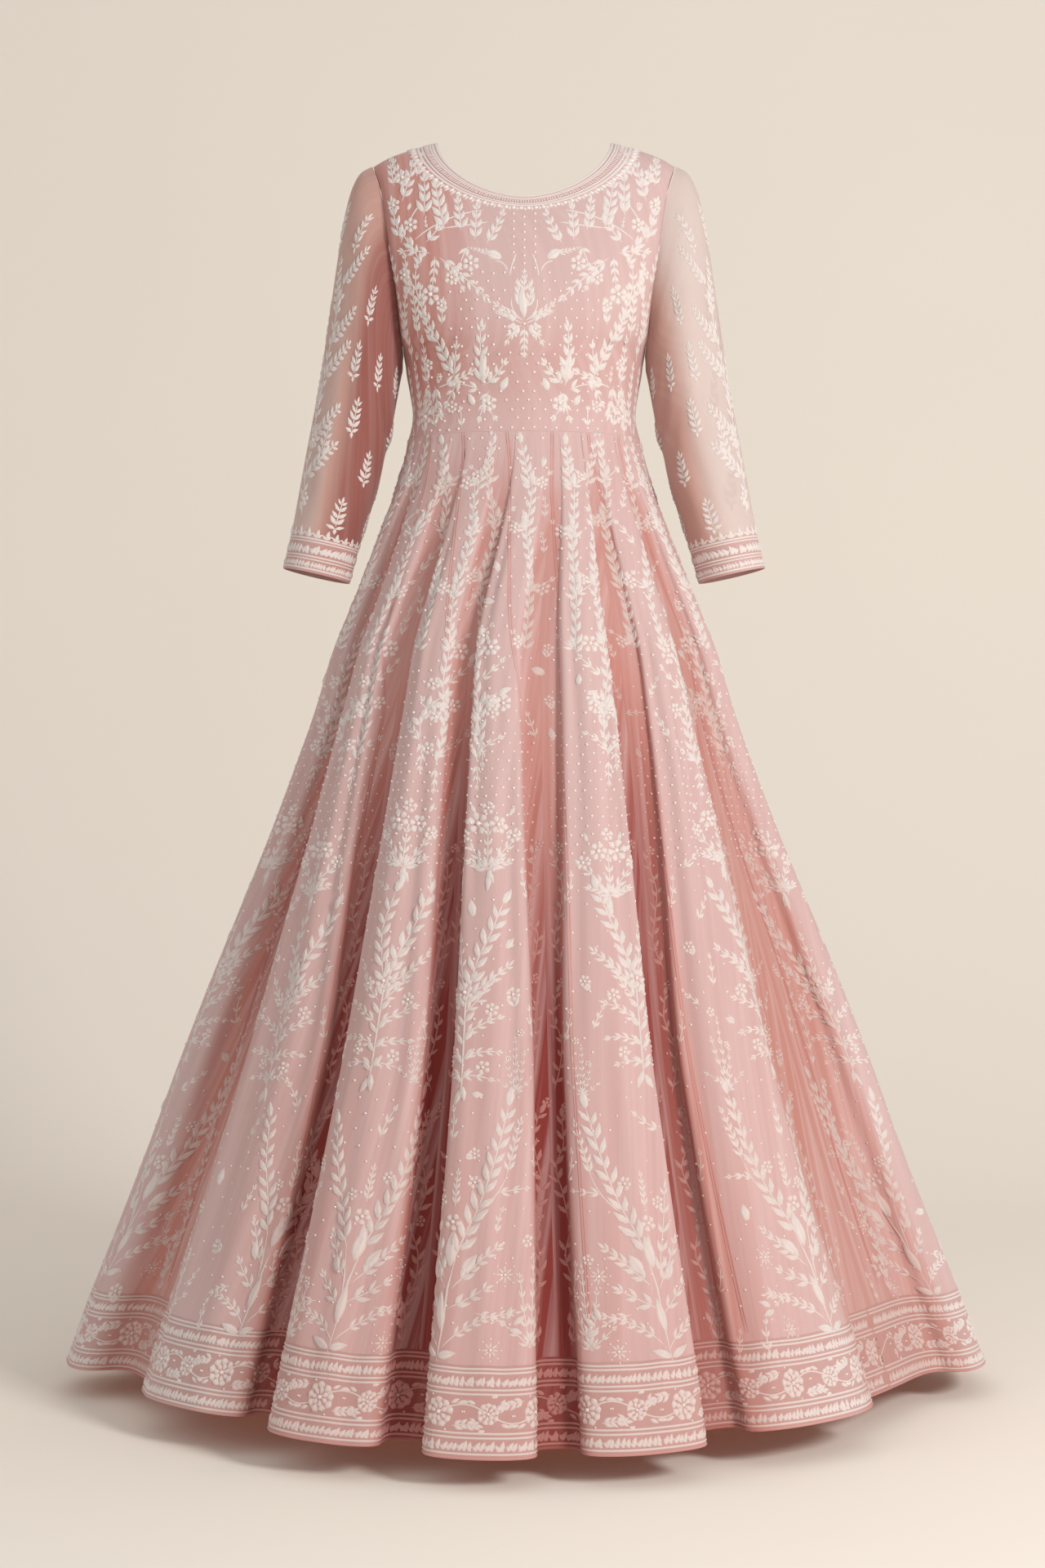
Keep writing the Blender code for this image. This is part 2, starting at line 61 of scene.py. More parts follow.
# %% Sizes shared by all pieces
# the solids' walls and the gap between two of them, then the shells' and theirs
WALL = 0.0020
SEAM_GAP = 0.0003
CLOTH = 0.0007
ORGANZA_THICK = CLOTH * 0.7
BORDER_THICK = CLOTH * 1.6
BAND_THICK = CLOTH * 2
CLOTH_GAP = 0.00006
WAIST_Z = -0.3550
UNDERARM_Z = -0.2489
SHOULDER_END = (0.1803, -0.0274)
BORDER_TOP_Z = -1.3620
HEM_Z = -1.4500
# where the folds have fully formed below the waist
FLARE_TOP_Z = -0.6200
# how far the hem rises between its front, sides and back
HEM_LIFT = 0.010

# Half-width of the bodice at its side seam, then at its armhole edge.
BODICE_SIDE = {
    "z": (-0.355, -0.340, -0.324, -0.300, -0.280, -0.2489, -0.2259, -0.187,
          -0.149, -0.118, -0.0876, -0.0542, -0.0274),
    "x": (0.1360, 0.1335, 0.1323, 0.1358, 0.1395, 0.1441, 0.1466, 0.1506,
          0.1565, 0.1606, 0.1648, 0.1710, 0.1803),
}
# Depth of the bodice at its middle, forwards and backwards.
BODICE_DEPTH = {
    "z": (-0.355, -0.324, -0.290, -0.250, -0.200, -0.150, -0.080, 0.0),
    "front": (0.0940, 0.0950, 0.1010, 0.1080, 0.1090, 0.1010, 0.0850, 0.0800),
    "back": (0.0900, 0.0880, 0.0890, 0.0940, 0.0980, 0.0980, 0.0900, 0.0800),
}
# The rest of each side: how far the armhole edge stands out, how far below the
# shoulder line the cloth turns over it, and the depth of the neckline.
BODICE_FORM = {
    "front": {"sign": -1.0, "armhole": 0.048, "turn": 0.120, "neck": 0.0827},
    "back": {"sign": 1.0, "armhole": 0.052, "turn": 0.105, "neck": 0.0640},
}
SHOULDER_LINE = {
    "x": (0.0, 0.1034, 0.1205, 0.1485, 0.1656, 0.1803),
    "z": (0.0, -0.0005, -0.0039, -0.0118, -0.0186, -0.0274),
}
NECK_POWER = 2 / 1.83
NECK_INNER = {"x": 0.1034, "top": -0.0005, "front": 0.0773, "back": 0.0560}
NECK_OUTER = {"x": 0.1205, "top": -0.0039, "front": 0.0827, "back": 0.0640}

# Sleeve rings: the outer end and the inner end of each, its half-depth and how
# far forward its middle lies. The first follows the armhole.
SLEEVE_RINGS = (
    # out_x   out_z    in_x    in_z    depth   forward
    (0.1803, -0.0274, 0.1441, -0.2489, 0.050, 0.000),
    (0.1940, -0.0343, 0.1460, -0.2587, 0.054, 0.000),
    (0.2048, -0.0519, 0.1475, -0.2695, 0.057, 0.001),
    (0.2127, -0.0794, 0.1499, -0.2832, 0.059, 0.001),
    (0.2195, -0.1186, 0.1529, -0.3018, 0.059, 0.002),
    (0.2264, -0.1646, 0.1563, -0.3214, 0.058, 0.003),
    (0.2332, -0.2136, 0.1607, -0.3440, 0.056, 0.004),
    (0.2411, -0.2675, 0.1671, -0.3714, 0.054, 0.006),
    (0.2499, -0.3195, 0.1744, -0.4047, 0.052, 0.008),
    (0.2597, -0.3714, 0.1833, -0.4361, 0.050, 0.010),
    (0.2685, -0.4204, 0.1906, -0.4596, 0.048, 0.012),
    (0.2773, -0.4684, 0.1989, -0.4861, 0.046, 0.014),
)
CUFF_RINGS = (
    (0.2773, -0.4684, 0.1989, -0.4861, 0.046, 0.014),
    (0.2871, -0.5096, 0.2097, -0.5272, 0.045, 0.015),
)

# Half-width of the skirt over its outermost folds, and how much shallower than
# wide it is.
SKIRT_WIDTH = {
    "z": (-0.355, -0.4136, -0.4557, -0.5096, -0.5488, -0.6105, -0.675, -0.8065,
          -0.9045, -1.0025, -1.1005, -1.1985, -1.2965, -1.3945, -1.450),
    "half": (0.1360, 0.1544, 0.1710, 0.1910, 0.2063, 0.2303, 0.2490, 0.2960,
             0.3357, 0.3758, 0.4136, 0.4498, 0.4885, 0.5285, 0.5493),
}
SKIRT_DEPTH = {
    "z": (-0.355, -0.500, -0.750, -1.100, -1.450),
    "front": (0.691, 0.800, 0.920, 0.980, 1.000),
    "back": (0.662, 0.780, 0.900, 0.950, 0.960),
}
# One kali a row, going round from the middle of the front to the wearer's left.
# Angles are in degrees from the front. "seam" is the seam on its first side, at
# the waist, at FLARE_TOP_Z and at the hem. "left" and "right" are the edges of
# its fold at FLARE_TOP_Z and at the hem. Radii are shares of SKIRT_WIDTH: the
# crest and the two shoulders of the fold. "sink" is how deep the recess at the
# seam lies at the hem, in metres.
KALIS = (
    # seam waist, top, hem   left top, hem    right top, hem  crest  left   right  sink
    (-8.5, -18.0, -14.2,     -13.9, -11.5,    -1.2, 1.4,      1.000, 0.978, 0.980, 0.064),
    (14.0, 4.7, 4.0,         10.6, 6.4,       25.4, 21.0,     0.995, 0.968, 0.975, 0.052),
    (32.0, 32.0, 24.3,       39.0, 27.6,      56.8, 49.4,     0.955, 0.930, 0.915, 0.062),
    (53.5, 64.0, 58.0,       76.0, 76.0,      98.0, 98.0,     1.000, 0.960, 0.975, 0.060),
    (80.0, 104.0, 102.5,     109.0, 107.0,    120.0, 121.0,   0.985, 0.960, 0.960, 0.058),
    (101.8, 125.0, 125.0,    130.5, 129.0,    139.0, 137.5,   0.955, 0.930, 0.940, 0.046),
    (123.6, 143.5, 141.0,    147.5, 145.0,    159.0, 157.5,   0.975, 0.945, 0.955, 0.060),
    (145.3, 162.5, 161.0,    166.0, 164.5,    173.0, 172.0,   0.990, 0.970, 0.965, 0.049),
    (167.1, 176.5, 175.5,    180.0, 179.0,    190.5, 191.5,   1.000, 0.970, 0.980, 0.063),
    (188.9, 193.5, 195.0,    196.5, 198.0,    203.5, 206.0,   0.985, 0.965, 0.960, 0.044),
    (210.7, 207.0, 209.5,    211.0, 213.5,    221.5, 225.0,   0.970, 0.940, 0.950, 0.062),
    (232.4, 225.0, 228.5,    228.5, 232.0,    236.0, 239.0,   0.955, 0.935, 0.930, 0.045),
    (254.2, 240.0, 242.5,    245.0, 247.0,    255.0, 257.5,   0.985, 0.955, 0.965, 0.060),
    (276.0, 260.0, 261.5,    267.0, 266.5,    281.0, 283.0,   0.990, 0.965, 0.955, 0.054),
    (303.5, 284.0, 293.5,    291.0, 299.5,    309.0, 322.5,   0.930, 0.895, 0.905, 0.062),
    (327.0, 316.5, 325.2,    324.2, 328.0,    338.0, 343.2,   0.975, 0.940, 0.955, 0.058),
)
KALI_COUNT = len(KALIS)
# Each border piece's first kali, counted from 0, and how many kalis it spans.
BORDERS = {
    "border_front": 15,
    "border_left": 3,
    "border_back": 7,
    "border_right": 11,
}
KALIS_IN_BORDER = 4
print("kalis:", KALI_COUNT, "border pieces:", len(BORDERS))

# %% [markdown]
# ## Small sums
#
# Every shape here is a function of two parameters, and the functions are built from
# a few small ones: a smooth curve through given points, a gentle step, and the
# normals of a grid, which say which way is out of the cloth.

# %% Curves, steps and normals
def through(at, xs, ys):
    """A smooth curve through the points: cubic pieces, flat where the points turn back."""
    xs = np.asarray(xs, float)
    ys = np.asarray(ys, float)
    at = np.clip(np.asarray(at, float), xs[0], xs[-1])
    step = np.diff(xs)
    rise = np.diff(ys) / step
    slope = np.zeros_like(xs)
    same = rise[:-1] * rise[1:] > 0
    mean = 2 * rise[:-1] * rise[1:] / np.where(same, rise[:-1] + rise[1:], 1.0)
    slope[1:-1] = np.where(same, mean, 0.0)
    slope[0] = rise[0]
    slope[-1] = rise[-1]
    k = np.clip(np.searchsorted(xs, at, side="right") - 1, 0, len(step) - 1)
    t = (at - xs[k]) / step[k]
    start = (1 + 2 * t) * (1 - t) ** 2 * ys[k] + t * (1 - t) ** 2 * step[k] * slope[k]
    end = t * t * (3 - 2 * t) * ys[k + 1] + t * t * (t - 1) * step[k] * slope[k + 1]
    return start + end


def downward(z, table, column):
    """through(), for a table whose heights run downwards."""
    return through(-np.asarray(z, float), -np.asarray(table["z"]), table[column])


def ease(t):
    """0 up to t = 0, 1 from t = 1, and 3t^2 - 2t^3 between."""
    t = np.clip(t, 0.0, 1.0)
    return t * t * (3 - 2 * t)


def hump(t):
    """1 at t = 0, falling as exp(-t^2)."""
    return np.exp(-t * t)


def unit(v):
    """Each vector divided by its length."""
    return v / np.linalg.norm(v, axis=-1, keepdims=True)


def steps_along(points, axis):
    """Distances between neighbouring points of a grid, along one of its directions."""
    return np.linalg.norm(np.diff(points, axis=axis), axis=-1)


def running(steps):
    """Running total of the steps along the last direction, from 0."""
    return np.concatenate([np.zeros_like(steps[..., :1]), np.cumsum(steps, axis=-1)], axis=-1)


def joined_up(grid):
    """A closed grid with its first column once more at its end."""
    return np.concatenate([grid, grid[:, :1]], axis=1)


def draw_back(edge, beside, gap):
    """Moves an edge's points towards the row beside it, so that a seam stays open by a hair."""
    edge += unit(beside - edge) * gap


def surface_normals(points, closed_round):
    """Normals of a grid of points, as the cross product of its two directions."""
    if closed_round:
        wide = np.concatenate([points[:, -1:], points, points[:, :1]], axis=1)
        across = np.gradient(wide, axis=1)[:, 1:-1]
    else:
        across = np.gradient(points, axis=1)
    return unit(np.cross(np.gradient(points, axis=0), across))


print("a gentle step halfway:", ease(0.5), "a hump one width away:", round(float(hump(1.0)), 3))

# %% [markdown]
# ## The skirt's form
#
# Each kali falls as one round fold, and the seams between kalis lie in the recesses.
# Going round the skirt, seven guide points a kali say where the fold turns, and a
# quadratic B-spline through them gives the smooth wave. The guides are worked out at
# each height, so the fold widens evenly from the waist seam to the hem.

# %% The skirt as a function of height and place round it
# at the waist a fold's edges stand this share of the kali's width from its seams
FOLD_EDGE = 0.2
# the two guide points of the crest, as shares of the way from edge to edge
CREST_SHARES = (0.28, 0.72)
# the height over which the folds spread below the flare's top
SPREAD_HEIGHT = 0.50
# how far a fold's walls tuck back under it at the hem
TUCK = 0.006


def fold_controls(z):
    """Angles and radii of the seven guide points of each kali, at heights z."""
    z = np.asarray(z, float)[:, None]
    rows = np.array(KALIS)
    ends = np.vstack([rows, rows[:1]])
    ends[-1, :7] += 360.0
    to_top = ease((WAIST_Z - z) / (WAIST_Z - FLARE_TOP_Z))
    to_hem = ease((FLARE_TOP_Z + 0.02 - z) / SPREAD_HEIGHT)
    seam = ends[:, 0] + (ends[:, 1] - ends[:, 0]) * to_top
    seam = seam + (ends[:, 2] - ends[:, 1]) * to_hem
    first = seam[:, :-1]
    panel = ends[1:, 0] - ends[:-1, 0]
    left = ends[:-1, 0] + FOLD_EDGE * panel
    right = ends[:-1, 0] + (1 - FOLD_EDGE) * panel
    left = left + (rows[:, 3] - left) * to_top + (rows[:, 4] - rows[:, 3]) * to_hem
    right = right + (rows[:, 5] - right) * to_top + (rows[:, 6] - rows[:, 5]) * to_hem
    width = downward(z, SKIRT_WIDTH, "half")
    fall = np.clip((WAIST_Z - z) / (WAIST_Z - HEM_Z), 0.0, 1.0)
    sink = ends[:, 10] * fall**0.70 * (0.25 + 0.75 * ease((WAIST_Z - z) / 0.16))
    crest, before, after = (1 - (1 - rows[:, k]) * to_top for k in (7, 8, 9))
    floor = (np.roll(crest, 1, axis=1) + crest) / 2
    floor = np.concatenate([floor, floor[:, :1]], axis=1) - sink / width
    tuck = TUCK * to_top * fall / width * 180 / np.pi * ease((WAIST_Z - z) / 0.12)
    crests = [left + share * (right - left) for share in CREST_SHARES]
    angles = np.stack([
        first, left + tuck, left - tuck * 0.3, *crests, right + tuck * 0.3, right - tuck,
    ], axis=-1)
    radii = np.stack([
        floor[:, :-1], floor[:, :-1] + 0.12 * sink[:, :-1] / width, before, crest,
        crest, after, floor[:, 1:] + 0.12 * sink[:, 1:] / width,
    ], axis=-1)
    shape = (len(z), 7 * KALI_COUNT)
    return np.radians(angles).reshape(shape), radii.reshape(shape) * width


def skirt_grid(levels, steps):
    """Points of the whole skirt and how deep each lies behind its folds' crests.

    Quadratic B-spline through the guides of each height, in steps per kali."""
    angles, radii = fold_controls(levels)
    z = np.asarray(levels, float)[:, None]
    front = downward(z, SKIRT_DEPTH, "front")
    back = downward(z, SKIRT_DEPTH, "back")
    cos = np.cos(angles)
    deep = back + (front - back) * ease(cos + 0.5)
    held = np.stack([radii * np.sin(angles), -radii * deep * cos], axis=-1)
    at = 0.5 + 7 * np.arange(steps * KALI_COUNT) / steps
    k = np.floor(at).astype(int)
    t = (at - k)[None, :, None]
    many = held.shape[1]
    before, here, after = (held[:, (k + i) % many] for i in (-1, 0, 1))
    flat = (1 - t) ** 2 / 2 * before + (0.5 + t - t * t) * here + t * t / 2 * after
    turn = np.arctan2(flat[..., 0], -flat[..., 1])
    drop = ease((WAIST_Z - z) / (WAIST_Z - HEM_Z))
    height = z + HEM_LIFT * np.sin(2 * turn) ** 2 * drop
    reach = np.hypot(flat[..., 0], flat[..., 1])
    lobe = reach.reshape(len(z), KALI_COUNT, steps).max(axis=2)
    middle = (np.arange(KALI_COUNT) + 0.5) * steps
    around = np.arange(steps * KALI_COUNT)
    crest = np.array([
        np.interp(around, middle, row, period=steps * KALI_COUNT) for row in lobe
    ])
    return np.concatenate([flat, height[..., None]], axis=-1), crest - reach


print("half-width of the skirt at the hem:", float(downward(HEM_Z, SKIRT_WIDTH, "half")))

# %% [markdown]
# ## Creases
#
# Between its big folds soft cloth is never smooth. Long shallow troughs run down from
# the waist, fade out and start again lower down, and short puckers hang from the waist
# seam where the fullness is eased in. They are listed one by one for the folds that
# face the front, and the folds at the sides and back get some of the same kind.

# %% Creases of the skirt
def waist_fillet(z):
    """How far cloth stands out beside the waist seam, so that the flare starts softly."""
    return 0.0022 * (1 - np.clip(np.abs(z - WAIST_Z) / 0.028, 0.0, 1.0)) ** 2


# kali counted from 1, where it starts and ends across the kali (0 to 1), half-width
# across, the heights where it fades in and out, and its depth (a ridge is negative)
FOLD_CREASES = (
    # kali start  end    half   top     bottom  depth
    (1, 0.36, 0.40, 0.045, -0.420, -0.980, 0.0022),
    (1, 0.60, 0.57, 0.040, -0.700, -1.420, 0.0030),
    (1, 0.47, 0.44, 0.035, -1.020, -1.500, 0.0022),
    (2, 0.40, 0.36, 0.045, -0.450, -1.100, 0.0026),
    (2, 0.58, 0.63, 0.040, -0.600, -1.500, 0.0034),
    (2, 0.48, 0.50, 0.030, -1.050, -1.500, 0.0020),
    (3, 0.34, 0.30, 0.040, -0.520, -1.500, 0.0042),
    (3, 0.50, 0.47, 0.040, -0.640, -1.500, 0.0044),
    (3, 0.66, 0.68, 0.040, -0.560, -1.350, 0.0036),
    (4, 0.34, 0.32, 0.040, -0.500, -1.500, 0.0044),
    (4, 0.47, 0.49, 0.035, -0.680, -1.500, 0.0036),
    (4, 0.60, 0.63, 0.040, -0.560, -1.300, 0.0034),
    (14, 0.36, 0.40, 0.040, -0.520, -1.500, 0.0040),
    (14, 0.56, 0.53, 0.035, -0.640, -1.500, 0.0034),
    (14, 0.68, 0.66, 0.040, -0.480, -1.250, 0.0032),
    (15, 0.33, 0.35, 0.035, -0.560, -1.500, 0.0042),
    (15, 0.50, 0.46, 0.040, -0.620, -1.420, 0.0036),
    (15, 0.63, 0.64, 0.035, -0.500, -1.500, 0.0040),
    (16, 0.38, 0.35, 0.045, -0.440, -1.180, 0.0030),
    (16, 0.57, 0.60, 0.040, -0.660, -1.500, 0.0032),
    (16, 0.47, 0.46, 0.030, -1.000, -1.500, 0.0020),
)
HIDDEN_KALIS = range(5, 14)
# how high the low ridges beside a crease are, as a share of its depth
RIDGE = 0.45
crease_draw = np.random.default_rng(41)


def hidden_creases():
    """Three creases a kali on the sides and back, like the listed ones."""
    rows = []
    for kali in HIDDEN_KALIS:
        for across in (0.35, 0.50, 0.64):
            start = across + crease_draw.uniform(-0.04, 0.04)
            top = crease_draw.uniform(-0.72, -0.46)
            bottom = -1.5 if crease_draw.random() < 0.6 else top - 0.6
            rows.append((kali, start, start + crease_draw.uniform(-0.04, 0.04),
                         crease_draw.uniform(0.033, 0.045), top, bottom,
                         crease_draw.uniform(0.0026, 0.0044)))
    return tuple(rows)


def skirt_creases(levels, steps):
    """How far the creases move the skirt outwards: a sum of long soft humps.

    Each is exp(-t^2) across its kali, times a gentle start and end down it."""
    z = np.asarray(levels, float)[:, None]
    around = np.arange(steps * KALI_COUNT)[None, :] / steps
    moved = np.zeros((len(levels), steps * KALI_COUNT))
    for kali, start, end, half, top, bottom, depth in FOLD_CREASES + hidden_creases():
        down = np.clip((top - z) / (top - bottom), 0.0, 1.0)
        middle = kali - 1 + start + (end - start) * down
        apart = (around - middle + KALI_COUNT / 2) % KALI_COUNT - KALI_COUNT / 2
        fade = ease((top - z) / 0.12) * ease((z - bottom) / 0.15)
        moved -= depth * fade * hump(apart / half)
        beside = hump((apart - 2 * half) / half) + hump((apart + 2 * half) / half)
        moved += RIDGE * depth * fade * beside
    below = WAIST_Z - z
    puckers = np.sin(2 * np.pi * around * 9 + 1.3 * np.sin(2 * np.pi * around * 1.7))
    moved += 0.0003 * puckers * ease(below / 0.020) * np.exp(-below / 0.035)
    ripple = np.sin(2 * np.pi * (around * 3.1 + 2.2 * z)) * np.sin(2 * np.pi * around * 7.3)
    return moved + 0.0005 * ripple * ease(below / 0.3)


print("creases on the skirt:", len(FOLD_CREASES) + 3 * len(HIDDEN_KALIS))

# %% [markdown]
# ## Cloth as a thin closed shell
#
# Real georgette is under a millimetre thick. Each panel is a grid of points for its
# outer face and the same grid moved in by the cloth's thickness, joined round the
# edges. It is closed, so light and the table check both treat it as cloth with two sides. Each
# point also keeps a share of painted shade, mostly from how deep in a fold it lies, which darkens
# its colour, and the grid's own measures across and down become its UV map, so a weave follows it.

# %% A shell from a grid
pieces = {}
cuts = {}


def grid_faces(rows, cols, closed_round):
    """Corner numbers of every square of a grid of points, as one array."""
    i = np.arange(rows - 1)[:, None]
    j = np.arange(cols if closed_round else cols - 1)[None, :]
    k = (j + 1) % cols
    corners = (i * cols + j, (i + 1) * cols + j, (i + 1) * cols + k, i * cols + k)
    return np.stack(np.broadcast_arrays(*corners), axis=-1).reshape(-1, 4)


def rim_faces(rows, cols, closed_round):
    """Squares that join a grid's edges to the edges of its copy behind it."""
    count = rows * cols
    j = np.arange(cols if closed_round else cols - 1)
    k = (j + 1) % cols
    low = (rows - 1) * cols
    rims = [
        np.stack([j, k, count + k, count + j], axis=-1),
        np.stack([low + k, low + j, count + low + j, count + low + k], axis=-1),
    ]
    if not closed_round:
        i = np.arange(rows - 1) * cols
        rims.append(np.stack([i, count + i, count + i + cols, i + cols], axis=-1))
        i = i + cols - 1
        rims.append(np.stack([i, i + cols, count + i + cols, count + i], axis=-1))
    return np.concatenate(rims)


def new_mesh(name, verts, faces, uv=None, shade=None, sharp=None):
    """A mesh object at the origin from arrays of points and of three- or four-cornered faces.

    An edge whose two ends are both among the points named sharp is drawn as an edge."""
    mesh = bpy.data.meshes.new(name)
    corners = faces.shape[1]
    mesh.vertices.add(len(verts))
    mesh.vertices.foreach_set("co", np.asarray(verts, np.float32).ravel())
    mesh.loops.add(faces.size)
    mesh.loops.foreach_set("vertex_index", faces.astype(np.int32).ravel())
    mesh.polygons.add(len(faces))
    starts = np.arange(0, faces.size, corners, dtype=np.int32)
    mesh.polygons.foreach_set("loop_start", starts)
    mesh.polygons.foreach_set("use_smooth", np.ones(len(faces), bool))
    mesh.update(calc_edges=True)
    if sharp is not None:
        ends = np.empty(2 * len(mesh.edges), np.int32)
        mesh.edges.foreach_get("vertices", ends)
        mesh.edges.foreach_set("use_edge_sharp", np.isin(ends.reshape(-1, 2), sharp).all(axis=1))
    if uv is not None:
        layer = mesh.uv_layers.new(name="Cloth")
        layer.data.foreach_set("uv", uv[faces.ravel()].astype(np.float32).ravel())
    # the recess attribute holds painted shade: how far the colour is darkened and reddened
    if shade is not None:
        made = mesh.attributes.new("recess", "FLOAT", "POINT")
        made.data.foreach_set("value", np.asarray(shade, np.float32).ravel())
    obj = bpy.data.objects.new(name, mesh)
    bpy.context.scene.collection.objects.link(obj)
    pieces[name] = obj
    return obj


def cut_size(points, closed_round, slanted):
    """Widest row, longest column and area of a grid, all measured along the cloth.

    Where rows slant or curve, each is measured as it looks from along the piece. The
    area is the sum of the grid's squares, each half the product of its diagonals."""
    if closed_round:
        points = joined_up(points)
    rows = points
    if slanted:
        along = unit(np.gradient(points.mean(axis=1, keepdims=True), axis=0))
        rows = points - along * np.sum(points * along, axis=-1, keepdims=True)
    widest = steps_along(rows, 1).sum(axis=1).max()
    longest = steps_along(points, 0).sum(axis=0).max()
    falling = points[1:, 1:] - points[:-1, :-1]
    rising = points[1:, :-1] - points[:-1, 1:]
    area = np.linalg.norm(np.cross(falling, rising), axis=-1).sum() / 2
    return round(float(widest), 3), round(float(longest), 3), round(float(area), 4)


def cloth_shell(name, outer, normals, shade, closed_round=False, thick=CLOTH, slanted=False):
    """The outer face, the same grid moved in along its normals, and rims between them."""
    rows, cols = outer.shape[:2]
    inner = outer - normals * thick
    verts = np.concatenate([outer.reshape(-1, 3), inner.reshape(-1, 3)])
    face = grid_faces(rows, cols, closed_round)
    faces = np.concatenate([face, face[:, ::-1] + rows * cols, rim_faces(rows, cols, closed_round)])
    across = running(steps_along(outer, 1))
    down = running(steps_along(outer, 0).mean(axis=1))[:, None]
    flat = np.stack([across, np.broadcast_to(down, (rows, cols))], axis=-1).reshape(-1, 2)
    cuts[name] = cut_size(outer, closed_round, slanted)
    uv = np.concatenate([flat, flat])
    shades = np.concatenate([shade.ravel(), shade.ravel()])
    return new_mesh(name, verts, faces, uv, shades, rim_faces(rows, cols, closed_round))


print("squares of a grid of 3 by 4 points:", len(grid_faces(3, 4, False)))

# %% [markdown]
# ## Skirt panels
#
# Sixteen kalis hang from the waist seam, each cut as a long taper, and the hem border is
# a separate band in four lengths. One fine grid goes right round the skirt, and each
# piece takes its own columns and rows of it, drawn back a hair at its seams. Going
# round in one piece keeps the folds continuous from panel to panel.

# %% The skirt's fine grid
KALI_COLUMNS = 44
WAIST_ROWS = 14
SKIRT_ROWS = 56
BORDER_ROWS = 8

# how far below the waist seam the rows stand closer together, for the puckers there
FINE_BELOW_WAIST = 0.06
# metres behind the crest where a recess's painted shade starts, and over which it gets full
RECESS_STARTS = 0.007
RECESS_GROWS = 0.034
# metres across over which the painted shade changes from the middle to the sides
SIDE_BLEND = 0.16
# painted shade of the crests, and of the line beside each seam
CREST_SHADE = 0.03
SEAM_SHADE = 0.36

near_waist = np.linspace(WAIST_Z, WAIST_Z - FINE_BELOW_WAIST, WAIST_ROWS + 1)[:-1]
down_skirt = np.linspace(WAIST_Z - FINE_BELOW_WAIST, BORDER_TOP_Z, SKIRT_ROWS + 1)
down_border = np.linspace(BORDER_TOP_Z, HEM_Z, BORDER_ROWS + 1)[1:]
skirt_levels = np.concatenate([near_waist, down_skirt, down_border])
seam_row = WAIST_ROWS + SKIRT_ROWS

skirt_base, skirt_behind = skirt_grid(skirt_levels, KALI_COLUMNS)
base_normals = surface_normals(skirt_base, True)
base_normals[..., 2] *= ease((WAIST_Z - skirt_levels[:, None]) / 0.03)
base_normals = unit(base_normals)
skirt_moved = WALL / 2 + skirt_creases(skirt_levels, KALI_COLUMNS)
skirt_moved += waist_fillet(skirt_levels)[:, None]
skirt_outer = skirt_base + base_normals * skirt_moved[..., None]
skirt_normals = surface_normals(skirt_outer, True)


def painted_shade_shares(x, z, behind):
    """How much painted shade each point gets: 0 on a crest at the top, 1 deep in a recess.

    The depth behind the crests sets it, standing for the shade and rosy bounced light in a
    fold. The folds near the middle get the darkest painted shade, those at the two sides hang
    more open to the light and get less, and the painted shade grows rosier downwards."""
    to_right = ease((x - 0.08) / SIDE_BLEND)
    to_left = ease((-x - 0.20) / SIDE_BLEND)
    to_side = ease((np.abs(x) - 0.24) / SIDE_BLEND)
    starts = RECESS_STARTS - 0.004 * to_right
    deep_fold = ease((behind - starts) / (RECESS_GROWS - 0.014 * to_right))
    deep_fold = deep_fold * (1 - 0.60 * to_right - 0.50 * to_left)
    near_seam = behind / np.maximum(behind.max(axis=1, keepdims=True), 1e-6)
    near_seam = ease((near_seam - 0.38) / 0.50) * ease((WAIST_Z - z) / 0.12)
    lower = ease((WAIST_Z - 0.25 - z) / 0.9)
    overall = CREST_SHADE + (0.19 - 0.24 * to_side) * lower
    return np.clip(np.maximum(deep_fold, SEAM_SHADE * near_seam) + overall, 0.0, 1.0)


# painted shade of the skirt: darker and rosier in the recesses and towards the hem
skirt_painted_shade = painted_shade_shares(skirt_outer[..., 0], skirt_levels[:, None], skirt_behind)
print("skirt grid:", skirt_outer.shape, "deepest recess", round(float(skirt_behind.max()), 3))

# %% Kalis and hem border
def skirt_piece(name, first, kalis, rows, thick):
    """Some columns and rows of the skirt's grid, drawn back a hair at every seam."""
    total = KALI_COLUMNS * KALI_COUNT
    cols = np.arange(first * KALI_COLUMNS, (first + kalis) * KALI_COLUMNS + 1) % total
    points = skirt_outer[rows, cols].copy()
    normals = skirt_normals[rows, cols]
    draw_back(points[:, 0], points[:, 1], CLOTH_GAP / 2)
    draw_back(points[:, -1], points[:, -2], CLOTH_GAP / 2)
    draw_back(points[0], points[1], CLOTH_GAP)
    draw_back(points[-1], points[-2], CLOTH_GAP)
    return cloth_shell(name, points, normals, skirt_painted_shade[rows, cols], thick=thick)


kali_names = ["kali_%02d" % (i + 1) for i in range(KALI_COUNT)]
for i, name in enumerate(kali_names):
    skirt_piece(name + "_cloth", i, 1, slice(0, seam_row + 1), CLOTH)
for name, first in BORDERS.items():
    skirt_piece(name + "_cloth", first, KALIS_IN_BORDER, slice(seam_row, None), BORDER_THICK)
print("kali cut:", cuts["kali_01_cloth"], "border cut:", cuts["border_front_cloth"])

# %% [markdown]
# ## Bodice
#
# The bodice is a front and a back that meet at the shoulders and sides. Its depth is a
# function of width and height: an oval section that flattens to the armholes and turns
# over to the shoulder line. Fitted cloth pulls a little, so faint drag lines run from
# the underarm to the bust and above the waist seam.

# %% The bodice's form
def armhole_depth(z, side):
    """How far the armhole edge stands from the side line: a quarter ellipse at the foot."""
    form = BODICE_FORM[side]
    middle = -0.120
    below = np.clip((middle - z) / (middle - UNDERARM_Z), 0.0, 1.0)
    return form["armhole"] * np.sqrt(1 - below**2)


